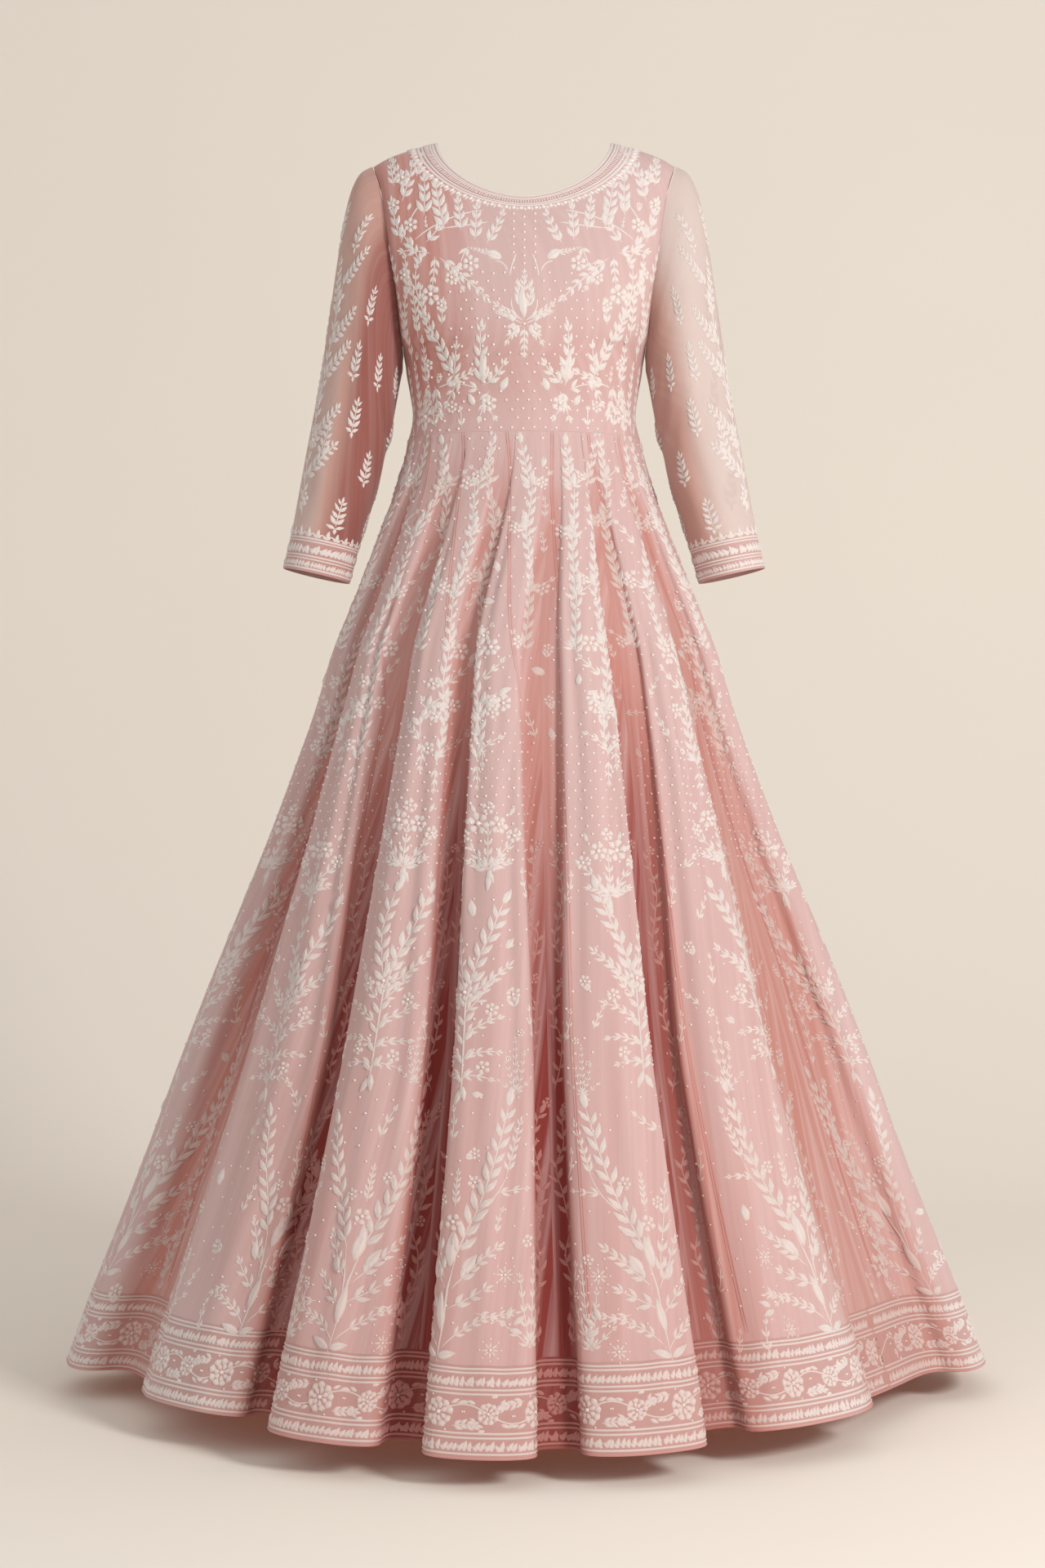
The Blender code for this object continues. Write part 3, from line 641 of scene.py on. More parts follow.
def bodice_depth(x, z, side):
    """Distance of the bodice from the side line: an ellipse across, rounded at the top."""
    form = BODICE_FORM[side]
    half = through(z, BODICE_SIDE["z"], BODICE_SIDE["x"])
    edge = armhole_depth(z, side)
    middle = through(z, BODICE_DEPTH["z"], BODICE_DEPTH[side])
    share = np.clip(np.abs(x) / half, 0.0, 1.0)
    body = edge + (middle - edge) * np.sqrt(np.clip(1 - share**2, 0.0, 1.0))
    line = through(np.abs(x), SHOULDER_LINE["x"], SHOULDER_LINE["z"])
    turn = np.clip((line - z) / form["turn"], 0.0, 1.0)
    return body * np.sqrt(1 - (1 - turn) ** 2)


def shoulder_normals(x):
    """Upward normals of the shoulder line, square to its slope."""
    step = 0.002
    above = np.clip(np.abs(x) + step, None, SHOULDER_END[0])
    below = np.abs(x) - step
    rise = through(above, SHOULDER_LINE["x"], SHOULDER_LINE["z"])
    rise = rise - through(below, SHOULDER_LINE["x"], SHOULDER_LINE["z"])
    slope = rise / (above - below)
    return unit(np.stack([-slope * np.sign(x), 0 * x, np.ones_like(x)], axis=-1))


def form_normals(x, z, side):
    """Outward normals of the bodice's form by small differences of its depth."""
    step = 0.0005
    across = bodice_depth(x + step, z, side) - bodice_depth(x - step, z, side)
    up = bodice_depth(x, z + step / 2, side) - bodice_depth(x, z - step / 2, side)
    facing = np.full_like(x, BODICE_FORM[side]["sign"])
    sloped = unit(np.stack([-across / (2 * step), facing, -up / step], axis=-1))
    near = np.clip(bodice_depth(x, z, side) / 0.012, 0.0, 1.0)[..., None]
    high = ease((z + 0.10) / 0.03)[..., None]
    turned = unit(sloped * near + shoulder_normals(x) * (1 - near))
    return unit(sloped * (1 - high) + turned * high)


print("depth of the front at the bust:", round(float(bodice_depth(0.0, -0.20, "front")), 3))

# %% Drag lines and the bodice's outer face
# middle x and z, direction from level in degrees, half-length, half-width, depth
BODICE_CREASES = (
    # x      z       turn   long   wide   depth
    (0.118, -0.232, 28.0, 0.034, 0.0060, 0.0011),
    (0.122, -0.258, 16.0, 0.030, 0.0055, 0.0009),
    (0.108, -0.300, 70.0, 0.040, 0.0075, 0.0008),
    (0.060, -0.318, 84.0, 0.034, 0.0080, 0.0007),
    (0.088, -0.326, 78.0, 0.026, 0.0060, 0.0007),
    (0.140, -0.110, 80.0, 0.036, 0.0060, 0.0009),
    (0.020, -0.330, 88.0, 0.022, 0.0070, 0.0005),
)


def bodice_creases(x, z):
    """Long soft troughs on both sides, each with a low ridge beside it."""
    moved = np.zeros(np.broadcast(x, z).shape)
    for at_x, at_z, turn, long, wide, depth in BODICE_CREASES:
        for way in (1, -1):
            dx = x * way - at_x
            dz = z - at_z
            cos = math.cos(math.radians(turn))
            sin = math.sin(math.radians(turn))
            along = dx * cos - dz * sin
            off = dx * sin + dz * cos
            moved -= depth * hump(along / long) * hump(off / wide)
            moved += 0.5 * depth * hump(along / long) * hump((off - 2 * wide) / wide)
    return moved * ease((z - WAIST_Z) / 0.02)


def bodice_outer(x, z, side):
    """Points and normals of the bodice's outer face at x and z."""
    depth = bodice_depth(x, z, side)
    normals = form_normals(x, z, side)
    base = np.stack([x, BODICE_FORM[side]["sign"] * depth, z], axis=-1)
    low_side = (z < UNDERARM_Z) & (depth < 0.001)
    flat = np.stack([np.sign(x), 0 * x, 0 * x], axis=-1)
    normals = np.where(low_side[..., None], flat, normals)
    normals[..., 2] *= ease((z - WAIST_Z) / 0.03)
    normals = unit(normals)
    moved = WALL / 2 + bodice_creases(x, z) + waist_fillet(z)
    return base + normals * moved[..., None], normals


def neck_curve(angle, size, side):
    """Half-width and height of a neckline: a rounded curve between circle and oval."""
    x = size["x"] * np.sign(np.sin(angle)) * np.abs(np.sin(angle)) ** NECK_POWER
    z = size["top"] - size[side] * np.abs(np.cos(angle)) ** NECK_POWER
    return x, z


print("drag lines on the front and on the back:", 2 * len(BODICE_CREASES))

# %% Bodice front and back
BODICE_COLUMNS = 72
BODICE_ROWS = 52
NECK_SHARE = 16 / 22


def bodice_top(s, side):
    """x and z of the top edge: shoulder, neckline, shoulder, for s from -1 to 1."""
    angle = np.clip(s / NECK_SHARE, -1.0, 1.0) * np.pi / 2
    x, z = neck_curve(angle, NECK_OUTER, side)
    out = np.clip((np.abs(s) - NECK_SHARE) / (1 - NECK_SHARE), 0.0, 1.0)
    shoulder = NECK_OUTER["x"] + (SHOULDER_END[0] - NECK_OUTER["x"]) * out
    line = through(shoulder, SHOULDER_LINE["x"], SHOULDER_LINE["z"])
    on_shoulder = np.abs(s) > NECK_SHARE + 1e-9
    x = np.where(on_shoulder, np.sign(s) * shoulder, x)
    return x, np.where(on_shoulder, line, z)


def bodice_painted_shade(x, z):
    """Painted shade: deeper pink on the wearer's right (-X), turned from the key light, and below
    the bust, fading towards the waist.
    """
    shade = 0.42 * ease((-x - 0.04) / 0.08) + 0.16 * ease((-0.20 - z) / 0.08)
    return shade * (0.2 + 0.8 * ease((z - WAIST_Z) / 0.09))


def bodice_piece(side):
    """Rows from the top edge to the waist, each scaled to the bodice's width there.

    They stand closer together towards the top, where the cloth turns over the shoulder."""
    s = np.linspace(-1.0, 1.0, BODICE_COLUMNS + 1)[None, :]
    up = np.sin(np.linspace(0.0, 1.0, BODICE_ROWS + 1) * np.pi / 2)[::-1, None]
    up = 0.5 * up + 0.5 * np.linspace(1.0, 0.0, BODICE_ROWS + 1)[:, None]
    top_x, top_z = bodice_top(s, side)
    z = WAIST_Z + (top_z - WAIST_Z) * up
    edge_z = WAIST_Z + (SHOULDER_END[1] - WAIST_Z) * up
    half = through(edge_z, BODICE_SIDE["z"], BODICE_SIDE["x"])
    mix = np.clip((up - 0.5) / 0.5, 0.0, 1.0) ** 2
    x = half * ((1 - mix) * np.sin(s * np.pi / 2) + mix * top_x / SHOULDER_END[0])
    if side == "back":
        x, z = x[:, ::-1], z[:, ::-1]
    x, z = np.broadcast_arrays(x, z)
    points, normals = bodice_outer(x, z, side)
    points[-1, :, 2] += CLOTH_GAP / 2
    shoulder = np.abs(points[0, :, 1]) < 0.004
    points[0, shoulder, 1] += BODICE_FORM[side]["sign"] * CLOTH_GAP / 2
    for column in (0, -1):
        low = z[:, column] < UNDERARM_Z
        points[low, column, 1] = BODICE_FORM[side]["sign"] * CLOTH_GAP / 2
    return cloth_shell("bodice_%s_cloth" % side, points, normals, bodice_painted_shade(x, z), slanted=True)


for side in ("front", "back"):
    bodice_piece(side)
print("bodice cuts:", cuts["bodice_front_cloth"], cuts["bodice_back_cloth"])

# %% [markdown]
# ## Neck band
#
# The round neck is bound by a narrow embroidered band. It lies on the bodice's form, so
# it takes its points from the same function, raised by its own thickness.

# %% Neck band
NECK_COLUMNS = 160
BAND_LIFT = 0.0006


def neck_ring(share, side, angle):
    """Points of the band at a share of its width, from the neckline outwards."""
    inner = neck_curve(angle, NECK_INNER, side)
    outer = neck_curve(angle, NECK_OUTER, side)
    x = inner[0] + (outer[0] - inner[0]) * share
    z = inner[1] + (outer[1] - inner[1]) * share
    return bodice_outer(x, z, side)


def neck_grid(shares):
    """The whole ring: the front from one shoulder to the other, then the back."""
    half = NECK_COLUMNS // 2
    angle = np.linspace(-np.pi / 2, np.pi / 2, half + 1)
    points, normals = [], []
    for share in shares:
        front = neck_ring(share, "front", angle)
        back = neck_ring(share, "back", angle[::-1])
        points.append(np.concatenate([front[0][:-1], back[0][:-1]]))
        normals.append(np.concatenate([front[1][:-1], back[1][:-1]]))
    return np.array(points), np.array(normals)


band_points, band_normals = neck_grid(np.linspace(0.0, 0.98, 7))
band_points = band_points + band_normals * BAND_LIFT
cloth_shell("neck_band_cloth", band_points, band_normals, np.zeros(band_points.shape[:2]),
            closed_round=True, thick=BAND_THICK)
print("neck band cut:", cuts["neck_band_cloth"])

# %% [markdown]
# ## Sleeves and cuffs
#
# Each sleeve is a tube of sheer organza: ovals that follow the arm from the armhole to
# the forearm, the first one bent to the armhole's own curve. Organza is crisp, so its
# creases are few: some slanting ones inside the elbow, and long shallow ones below.

# %% Sleeve form
SLEEVE_COLUMNS = 56
SLEEVE_ROWS = 60
CUFF_ROWS = 8
# how far the sleeve's head stands out from the armhole, so that the two don't cross
HEAD_LIFT = 0.0006
# where down the sleeve (0 armhole, 1 cuff) and round it (0 outside, 0.25 front, 0.5
# inside), how far it runs down and round, its slant, half-width and depth
SLEEVE_CREASES = (
    # down  round  long   wide   slant  depth
    (0.10, 0.36, 0.10, 0.030, 0.50, 0.0016),
    (0.17, 0.42, 0.11, 0.030, 0.60, 0.0018),
    (0.50, 0.40, 0.07, 0.032, 1.20, 0.0022),
    (0.57, 0.44, 0.06, 0.030, 1.50, 0.0026),
    (0.64, 0.38, 0.07, 0.030, 1.10, 0.0018),
    (0.60, 0.22, 0.16, 0.026, 0.20, 0.0014),
    (0.80, 0.30, 0.16, 0.028, -0.15, 0.0018),
    (0.84, 0.12, 0.14, 0.030, 0.10, 0.0014),
    (0.35, 0.14, 0.20, 0.032, 0.12, 0.0013),
    (0.52, 0.62, 0.08, 0.034, -1.10, 0.0022),
    (0.30, 0.74, 0.18, 0.030, 0.15, 0.0016),
    (0.78, 0.80, 0.16, 0.030, 0.10, 0.0018),
)


def sleeve_ring(row, angles):
    """An oval between the outer and the inner end of a row of the sleeve table."""
    out_x, out_z, in_x, in_z, depth, forward = (row[..., k, None] for k in range(6))
    cos, sin = np.cos(angles), np.sin(angles)
    x = (out_x + in_x) / 2 + cos * (out_x - in_x) / 2
    z = (out_z + in_z) / 2 + cos * (out_z - in_z) / 2
    return np.stack([x, -forward - sin * depth, z], axis=-1)


def armhole_points(angles):
    """The bodice's armhole edge at each angle, front for the first half turn."""
    top, low = SHOULDER_END[1], UNDERARM_Z
    z = (top + low) / 2 + (top - low) / 2 * np.cos(angles)
    x = through(z, BODICE_SIDE["z"], BODICE_SIDE["x"])
    front = -bodice_depth(x, z, "front")
    back = bodice_depth(x, z, "back")
    y = np.where(angles <= np.pi, front, back)
    y = np.where((angles < 1e-6) | (np.abs(angles - np.pi) < 1e-6), 0.0, y)
    return np.stack([x, y, z], axis=-1)


def sleeve_points(down, angles):
    """Rings down the sleeve: 0 is the armhole, 1 the cuff's seam, past 1 the cuff."""
    table = np.array(SLEEVE_RINGS + CUFF_RINGS[1:])
    place = np.arange(len(table), dtype=float)
    at = np.asarray(down) * (len(SLEEVE_RINGS) - 1)
    rows = np.stack([through(at, place, table[:, k]) for k in range(6)], axis=-1)
    points = sleeve_ring(rows, angles)
    miss = armhole_points(angles) - sleeve_ring(np.array(SLEEVE_RINGS[0])[None], angles)[0]
    fade = through(at, (0, 1, 2, 3, 4, 20), (1.0, 0.55, 0.25, 0.08, 0.0, 0.0))
    points = points + miss * fade[:, None, None]
    bottom = np.clip(-np.cos(angles), 0.0, 1.0)
    stand = SEAM_GAP + WALL / 2 * (0.75 + 0.45 * bottom)
    points[..., 0] += stand * np.clip(1 - 2 * at, 0.0, 1.0)[:, None]
    points[..., 0] += HEAD_LIFT * (1 + bottom) * np.clip(1 - at / 2, 0.0, 1.0)[:, None]
    return points


def sleeve_creases(down, angles):
    """Slanting humps on the tube, and puckers where the head is eased into the armhole."""
    down = np.asarray(down)[:, None]
    turn = (angles / (2 * np.pi))[None, :]
    moved = np.zeros((len(down), len(angles)))
    for at, around, long, wide, slant, depth in SLEEVE_CREASES:
        apart = (turn - around - slant * (down - at) * 0.5 + 0.5) % 1.0 - 0.5
        trough = hump((down - at) / long) * hump(apart / wide)
        ridge = hump((down - at) / long) * hump((apart - 2 * wide) / wide)
        moved += depth * (0.6 * ridge - trough)
    head = np.sin(angles * 13)[None, :] * np.clip(np.cos(angles), 0, 1)[None, :]
    moved += 0.0005 * head * ease(down / 0.02) * np.exp(-down / 0.05)
    hold = ease(down / 0.05) * ease((1.0 - down) / 0.04)
    return moved * hold


def sleeve_outer(down, angles, way):
    """Outer points and normals of the wearer's left sleeve (way 1) or right (way -1)."""
    points = sleeve_points(down, angles)
    normals = -surface_normals(points, True)
    moved = WALL / 2 + sleeve_creases(down, angles)
    points = points + normals * moved[..., None]
    normals = -surface_normals(points, True)
    if way < 0:
        return points * (-1, 1, 1), normals * (-1, 1, 1)
    return points[:, ::-1], normals[:, ::-1]


sleeve_angles = np.linspace(0.0, 2 * np.pi, SLEEVE_COLUMNS, endpoint=False)
CUFF_END = len(SLEEVE_RINGS) / (len(SLEEVE_RINGS) - 1)
sleeve_down = np.linspace(0.0, 1.0, SLEEVE_ROWS + 1)
cuff_down = np.linspace(1.0, CUFF_END, CUFF_ROWS + 1)
all_down = np.concatenate([sleeve_down, cuff_down[1:]])
print("rings down a sleeve and its cuff:", len(all_down))

# %% Sleeves and cuffs
def sleeve_painted_shade(rows, way):
    """Painted shade on a sleeve: pinker and darker towards the body, standing for the two layers
    that overlap there.

    The wearer's right sleeve stands in the gown's own shade, so it gets more painted shade, most of
    all at its head."""
    inside = ease((0.25 - np.cos(sleeve_angles)) / 1.05)
    if way > 0:
        return np.broadcast_to(0.62 * inside[::-1], (rows, SLEEVE_COLUMNS))
    shaded = 0.18 + 0.82 * ease(0.60 - np.cos(sleeve_angles))
    high = np.linspace(1.0, 0.0, rows)[:, None] if rows > CUFF_ROWS + 1 else 0.0
    return np.clip(np.broadcast_to(shaded + 0.36 * high, (rows, SLEEVE_COLUMNS)), 0.0, 1.0)


# the recess attribute of each sleeve and cuff carries its painted shade
for label, way in (("left", 1), ("right", -1)):
    grid, ways = sleeve_outer(all_down, sleeve_angles, way)
    sleeve, cuff = grid[: SLEEVE_ROWS + 1].copy(), grid[SLEEVE_ROWS:].copy()
    draw_back(sleeve[-1], sleeve[-2], CLOTH_GAP / 2)
    draw_back(cuff[0], cuff[1], CLOTH_GAP / 2)
    cloth_shell("sleeve_%s_cloth" % label, sleeve, ways[: SLEEVE_ROWS + 1],
                sleeve_painted_shade(SLEEVE_ROWS + 1, way), True, ORGANZA_THICK, True)
    cloth_shell("cuff_%s_cloth" % label, cuff, ways[SLEEVE_ROWS:],
                0.25 * sleeve_painted_shade(CUFF_ROWS + 1, way), True, BORDER_THICK, True)
print("sleeve cut:", cuts["sleeve_left_cloth"], "cuff cut:", cuts["cuff_left_cloth"])

# %% [markdown]
# ## Finishes
#
# Georgette is matt with a soft bloom at grazing angles, so it gets a rough base, a
# fine crinkled weave as bump and some sheen. Where it lies deep in a fold, light
# bounces between pink walls and comes out darker and rosier; this is painted shade
# that the recess attribute mixes into the colour.
# Organza is the same yarn woven open, so it is part see-through. Thread is silkier
# than cloth, and its stitches run across each leaf.

# %% Node helpers
def new_material(name):
    """An empty node material: its tree and its Principled shader."""
    made = bpy.data.materials.new(name)
    made.use_nodes = True
    return made, made.node_tree, made.node_tree.nodes["Principled BSDF"]


def fill(tree, node, inputs):
    """Sets each named input of a node: linked to a socket, or given a number or colour."""
    for key, value in inputs.items():
        if isinstance(value, bpy.types.NodeSocket):
            tree.links.new(value, node.inputs[key])
        elif isinstance(value, tuple) and len(node.inputs[key].default_value) == 4:
            node.inputs[key].default_value = (*value, 1.0)
        else:
            node.inputs[key].default_value = value


def add_node(tree, kind, inputs, **settings):
    """A new node of a kind, with its settings and its inputs."""
    node = tree.nodes.new("ShaderNode" + kind)
    for key, value in settings.items():
        setattr(node, key, value)
    fill(tree, node, inputs)
    return node


def noise(tree, source, scale, detail=2.0, stretch=(1, 1, 1)):
    """Noise on the given coordinates, stretched before it is scaled."""
    mapping = add_node(tree, "Mapping", {"Vector": source, "Scale": stretch})
    texture = add_node(tree, "TexNoise", {"Scale": scale, "Detail": detail,
                                          "Vector": mapping.outputs["Vector"]})
    return texture.outputs["Fac"]


def waves(tree, source, pitch, direction, distortion, **inputs):
    """Waves a pitch apart in metres: Blender's wave repeats every 2 pi / (20 scale)."""
    inputs.update({"Scale": 2 * math.pi / (20 * pitch), "Distortion": distortion,
                   "Detail": 1.0, "Vector": source})
    return add_node(tree, "TexWave", inputs, bands_direction=direction).outputs["Fac"]


def weave(tree, source, pitch):
    """Two crossed sets of threads, as the product of two waves a pitch apart."""
    crossed = [waves(tree, source, pitch, direction, 0.6, **{"Detail Scale": 0.4})
               for direction in ("X", "Y")]
    return arithmetic(tree, "MULTIPLY", *crossed)


def arithmetic(tree, operation, first, second):
    """One sum of two sockets or numbers."""
    return add_node(tree, "Math", {0: first, 1: second}, operation=operation).outputs["Value"]


def mixed_colour(tree, factor, first, second):
    """Two colours, given as values or sockets, mixed by a factor."""
    node = add_node(tree, "Mix", {}, data_type="RGBA")
    fill(tree, node, {0: factor, 6: first, 7: second})
    return node.outputs[2]


def bumped(tree, shader, height, distance, strength, under=None):
    """A bump of the given height in metres on the shader's normal, over another bump if given."""
    inputs = {"Distance": distance, "Strength": strength, "Height": height}
    if under is not None:
        inputs["Normal"] = under
    normal = add_node(tree, "Bump", inputs).outputs["Normal"]
    fill(tree, shader, {"Normal": normal})
    return normal


def uv_of(tree):
    """The piece's own UV map, in metres along and across the cloth or the stitch."""
    return add_node(tree, "UVMap", {}, uv_map="Cloth").outputs["UV"]


def painted_shade_of(tree):
    """The recess attribute: how much painted shade a point gets, from 0 to 1, mostly from how deep
    in a fold it lies.
    """
    return add_node(tree, "Attribute", {}, attribute_name="recess").outputs["Fac"]


def by_painted_shade(tree, colours):
    """The first colour at painted shade 0, the second at 0.5 and the third at 1."""
    twice = arithmetic(tree, "MULTIPLY", painted_shade_of(tree), 2.0)
    near = mixed_colour(tree, twice, colours[0], colours[1])
    return mixed_colour(tree, arithmetic(tree, "SUBTRACT", twice, 1.0), near, colours[2])


print("wave scale of stitches 1 mm apart:", round(2 * math.pi / (20 * 0.001)))

# %% Cloth
# linear colours with painted shade: on a lit fold's crest, part way in, then deep in a shaded
# recess
GEORGETTE = ((0.628, 0.452, 0.445), (0.520, 0.215, 0.180), (0.235, 0.026, 0.022))
BAND_CLOTH = ((0.580, 0.380, 0.365), (0.480, 0.210, 0.180), (0.240, 0.036, 0.030))
ORGANZA = ((0.890, 0.760, 0.730), (0.680, 0.410, 0.355), (0.300, 0.095, 0.080))
# how solid the organza is: flat against the light, and where two layers overlap
ORGANZA_ALPHA = (0.46, 0.94)
SHEEN_TINT = (1.0, 0.86, 0.84)
# how often a streak repeats across and along the panel, and a cloud anywhere, per metre
STREAK_STRETCH = (85.0, 1.7, 1.0)
CLOUD_SCALE = 9.0
CRINKLE_SCALE = 420.0
YARN_PITCH = 0.0011


def cloth_material(name, colours, alpha=None, sheen=0.30, streaks=0.22):
    """Matt woven cloth: three colours by painted shade, soft streaks along the panel and a weave.
    """
    made, tree, shader = new_material(name)
    uv = uv_of(tree)
    streak = noise(tree, uv, 1.0, 3.0, STREAK_STRETCH)
    cloud = noise(tree, uv, CLOUD_SCALE)
    deep = by_painted_shade(tree, colours)
    paler = tuple(min(1.0, 1.10 * c + 0.03) for c in colours[0])
    over_middle = arithmetic(tree, "SUBTRACT", streak, 0.42)
    sheer = arithmetic(tree, "MULTIPLY", over_middle, streaks * 4)
    tinted = mixed_colour(tree, sheer, deep, paler)
    soft = mixed_colour(tree, arithmetic(tree, "MULTIPLY", cloud, 0.10), tinted, colours[1])
    if alpha is not None:
        solid = arithmetic(tree, "MULTIPLY", painted_shade_of(tree), alpha[1] - alpha[0])
        fill(tree, shader, {"Alpha": arithmetic(tree, "ADD", solid, alpha[0])})
    fill(tree, shader, {"Base Color": soft, "Roughness": 0.72, "Specular IOR Level": 0.25,
                        "Sheen Weight": sheen, "Sheen Roughness": 0.45, "Sheen Tint": SHEEN_TINT})
    crinkle = bumped(tree, shader, noise(tree, uv, CRINKLE_SCALE), 0.0002, 0.5)
    bumped(tree, shader, weave(tree, uv, YARN_PITCH), 0.00012, 0.6, crinkle)
    return made


georgette = cloth_material("georgette_cloth", GEORGETTE, streaks=0.42)
band_cloth = cloth_material("embroidered_band_cloth", BAND_CLOTH, streaks=0.1)
organza = cloth_material("organza_cloth", ORGANZA, ORGANZA_ALPHA, sheen=0.45, streaks=0.08)
print("cloth finishes:", [made.name for made in (georgette, band_cloth, organza)])

# %% Thread, pearls and piping
# linear colours of thread and piping with painted shade: lit, part way in, then deep in a recess or
# at a stitch's foot
THREAD = ((0.900, 0.860, 0.840), (0.720, 0.520, 0.480), (0.460, 0.150, 0.125))
PIPING = ((0.700, 0.440, 0.420), (0.560, 0.220, 0.190), (0.300, 0.060, 0.050))
# a pearl: its own colour, its warm clouds, and its painted shade and painted reflection of pink
# cloth deep in a recess
PEARL = ((0.900, 0.820, 0.790), (0.86, 0.72, 0.66), (0.42, 0.15, 0.13))
PEARL_CLOUD_SCALE = 160.0
# widths of a stitch, in metres
THREAD_STITCH = 0.00045
PIPING_STITCH = 0.0009


def thread_material(name, colours, stitch, roughness=0.48):
    """Silky thread laid side by side: stitches as fine waves along the UV's length, with painted
    shade by the recess attribute and between the stitches.
    """
    made, tree, shader = new_material(name)
    wave = waves(tree, uv_of(tree), stitch, "X", 1.0)
    deep = by_painted_shade(tree, colours)
    # painted shade in the grooves between stitches
    painted_stitch_gap = tuple(0.80 * c for c in colours[0])
    between = arithmetic(tree, "MULTIPLY", arithmetic(tree, "SUBTRACT", 1.0, wave), 0.22)
    fill(tree, shader, {"Base Color": mixed_colour(tree, between, deep, painted_stitch_gap),
                        "Roughness": roughness, "Specular IOR Level": 0.35,
                        "Sheen Weight": 0.25, "Sheen Roughness": 0.4})
    bumped(tree, shader, wave, 0.00015, 0.7)
    return made


def pearl_material():
    """A small glossy bead with a faint warm cloudiness, and painted shade deep in a recess."""
    made, tree, shader = new_material("pearl")
    coordinates = add_node(tree, "TexCoord", {}).outputs["Object"]
    cloud = noise(tree, coordinates, PEARL_CLOUD_SCALE, 1.0)
    warm = mixed_colour(tree, arithmetic(tree, "MULTIPLY", cloud, 0.4), PEARL[0], PEARL[1])
    deep = mixed_colour(tree, arithmetic(tree, "MULTIPLY", painted_shade_of(tree), 0.8), warm, PEARL[2])
    fill(tree, shader, {"Base Color": deep, "Roughness": 0.22, "Coat Weight": 0.4})
    return made


thread = thread_material("thread", THREAD, THREAD_STITCH)
piping = thread_material("piping", PIPING, PIPING_STITCH, 0.6)
pearl = pearl_material()
print("materials:", [m.name for m in (georgette, band_cloth, organza, thread, piping, pearl)])


# %% [markdown]
# ## Laying flat stitching on cloth
#
# Embroidery is drawn on flat cloth in a frame, before the gown is sewn. So each motif
# here is drawn flat too, in metres across and down its panel, and then laid on the
# finished cloth. A panel keeps the points and normals of its shell's outer face and
# the flat measures along them. To lay a stitch, its flat place is looked up in those
# measures, and it is raised along the normal by its own height.

# %% A panel's flat measures
class Panel:
    """A grid of cloth points with, for each, its flat place across and down the panel."""

    samples = 161

    def __init__(self, points, normals, shade, across, down, first, last):
        self.points, self.normals, self.shade = points, normals, shade
        self.down = down
        self.first, self.last = first, last
        wanted = np.linspace(first, last, self.samples)
        column = np.arange(points.shape[1], dtype=float)
        self.column = np.array([np.interp(wanted, row, column) for row in across])

    def lay(self, across, down, out):
        """Points at flat places, raised by out, and the shade there: bilinear look-ups."""
        row = np.interp(down, self.down, np.arange(len(self.down), dtype=float))
        share = (np.clip(across, self.first, self.last) - self.first) / (self.last - self.first)
        column = blend(self.column[..., None], row, share * (self.samples - 1))[..., 0]
        points = blend(self.points, row, column)
        normals = unit(blend(self.normals, row, column))
        shade = blend(self.shade[..., None], row, column)[..., 0]
        return points + normals * out[..., None], shade


def blend(grid, row, column):
    """The grid's value between its four nearest points: straight-line mixes both ways."""
    i = np.clip(row.astype(int), 0, grid.shape[0] - 2)
    j = np.clip(column.astype(int), 0, grid.shape[1] - 2)
    s, t = (row - i)[..., None], (column - j)[..., None]
    top = grid[i, j] * (1 - t) + grid[i, j + 1] * t
    low = grid[i + 1, j] * (1 - t) + grid[i + 1, j + 1] * t
    return top * (1 - s) + low * s


def centred(points, middle):
    """Distance across each row from its middle column, and down the middle column."""
    across = running(steps_along(points, 1))
    across = across - across[:, middle : middle + 1]
    return across, running(steps_along(points[:, middle], 0))


print("columns looked up across a panel:", Panel.samples)

# %% Panels of the gown
# how far to each side of its middle a panel's flat measures reach, in metres
KALI_REACH = 0.26
BODICE_REACH = 0.24
SLEEVE_REACH = 0.17
# columns of a bodice panel on each side of its middle, and rows of a sleeve panel
BODICE_SAMPLES = 80
SLEEVE_SAMPLES = 110
# the row of the neck's panel that lies along the middle of the band
NECK_MIDDLE = 5


def kali_panel(i):
    """One kali and half of each neighbour, measured from the middle of its fold."""
    total = KALI_COLUMNS * KALI_COUNT
    cols = np.arange((i - 1) * KALI_COLUMNS, (i + 2) * KALI_COLUMNS + 1) % total
    points = skirt_outer[:, cols]
    across, down = centred(points, KALI_COLUMNS + KALI_COLUMNS // 2)
    return Panel(points, skirt_normals[:, cols], skirt_painted_shade[:, cols], across, down,
                 -KALI_REACH, KALI_REACH)


def hem_panel(name):
    """A border's length of hem, measured from its middle and down from its top seam."""
    first = BORDERS[name] * KALI_COLUMNS
    total = KALI_COLUMNS * KALI_COUNT
    cols = np.arange(first, first + KALIS_IN_BORDER * KALI_COLUMNS + 1) % total
    rows = slice(seam_row, None)
    points = skirt_outer[rows, cols]
    across, down = centred(points, 2 * KALI_COLUMNS)
    steady = np.broadcast_to(across[len(across) // 2], across.shape)
    return Panel(points, skirt_normals[rows, cols], skirt_painted_shade[rows, cols], steady, down,
                 float(steady[0, 0]), float(steady[0, -1]))


def bodice_panel(side):
    """A half of the bodice on an even grid of heights, measured across from its middle."""
    z = np.linspace(0.0, WAIST_Z, 120)[:, None]
    half = through(z, BODICE_SIDE["z"], BODICE_SIDE["x"])
    s = np.linspace(-1.0, 1.0, 2 * BODICE_SAMPLES + 1)[None, :]
    x, z = np.broadcast_arrays(half * np.sin(s * np.pi / 2) * 0.9999, z)
    if side == "back":
        x = x[:, ::-1]
    points, normals = bodice_outer(x, z, side)
    across = centred(points, BODICE_SAMPLES)[0]
    return Panel(points, normals, np.zeros(x.shape), across, -z[:, 0], -BODICE_REACH, BODICE_REACH)


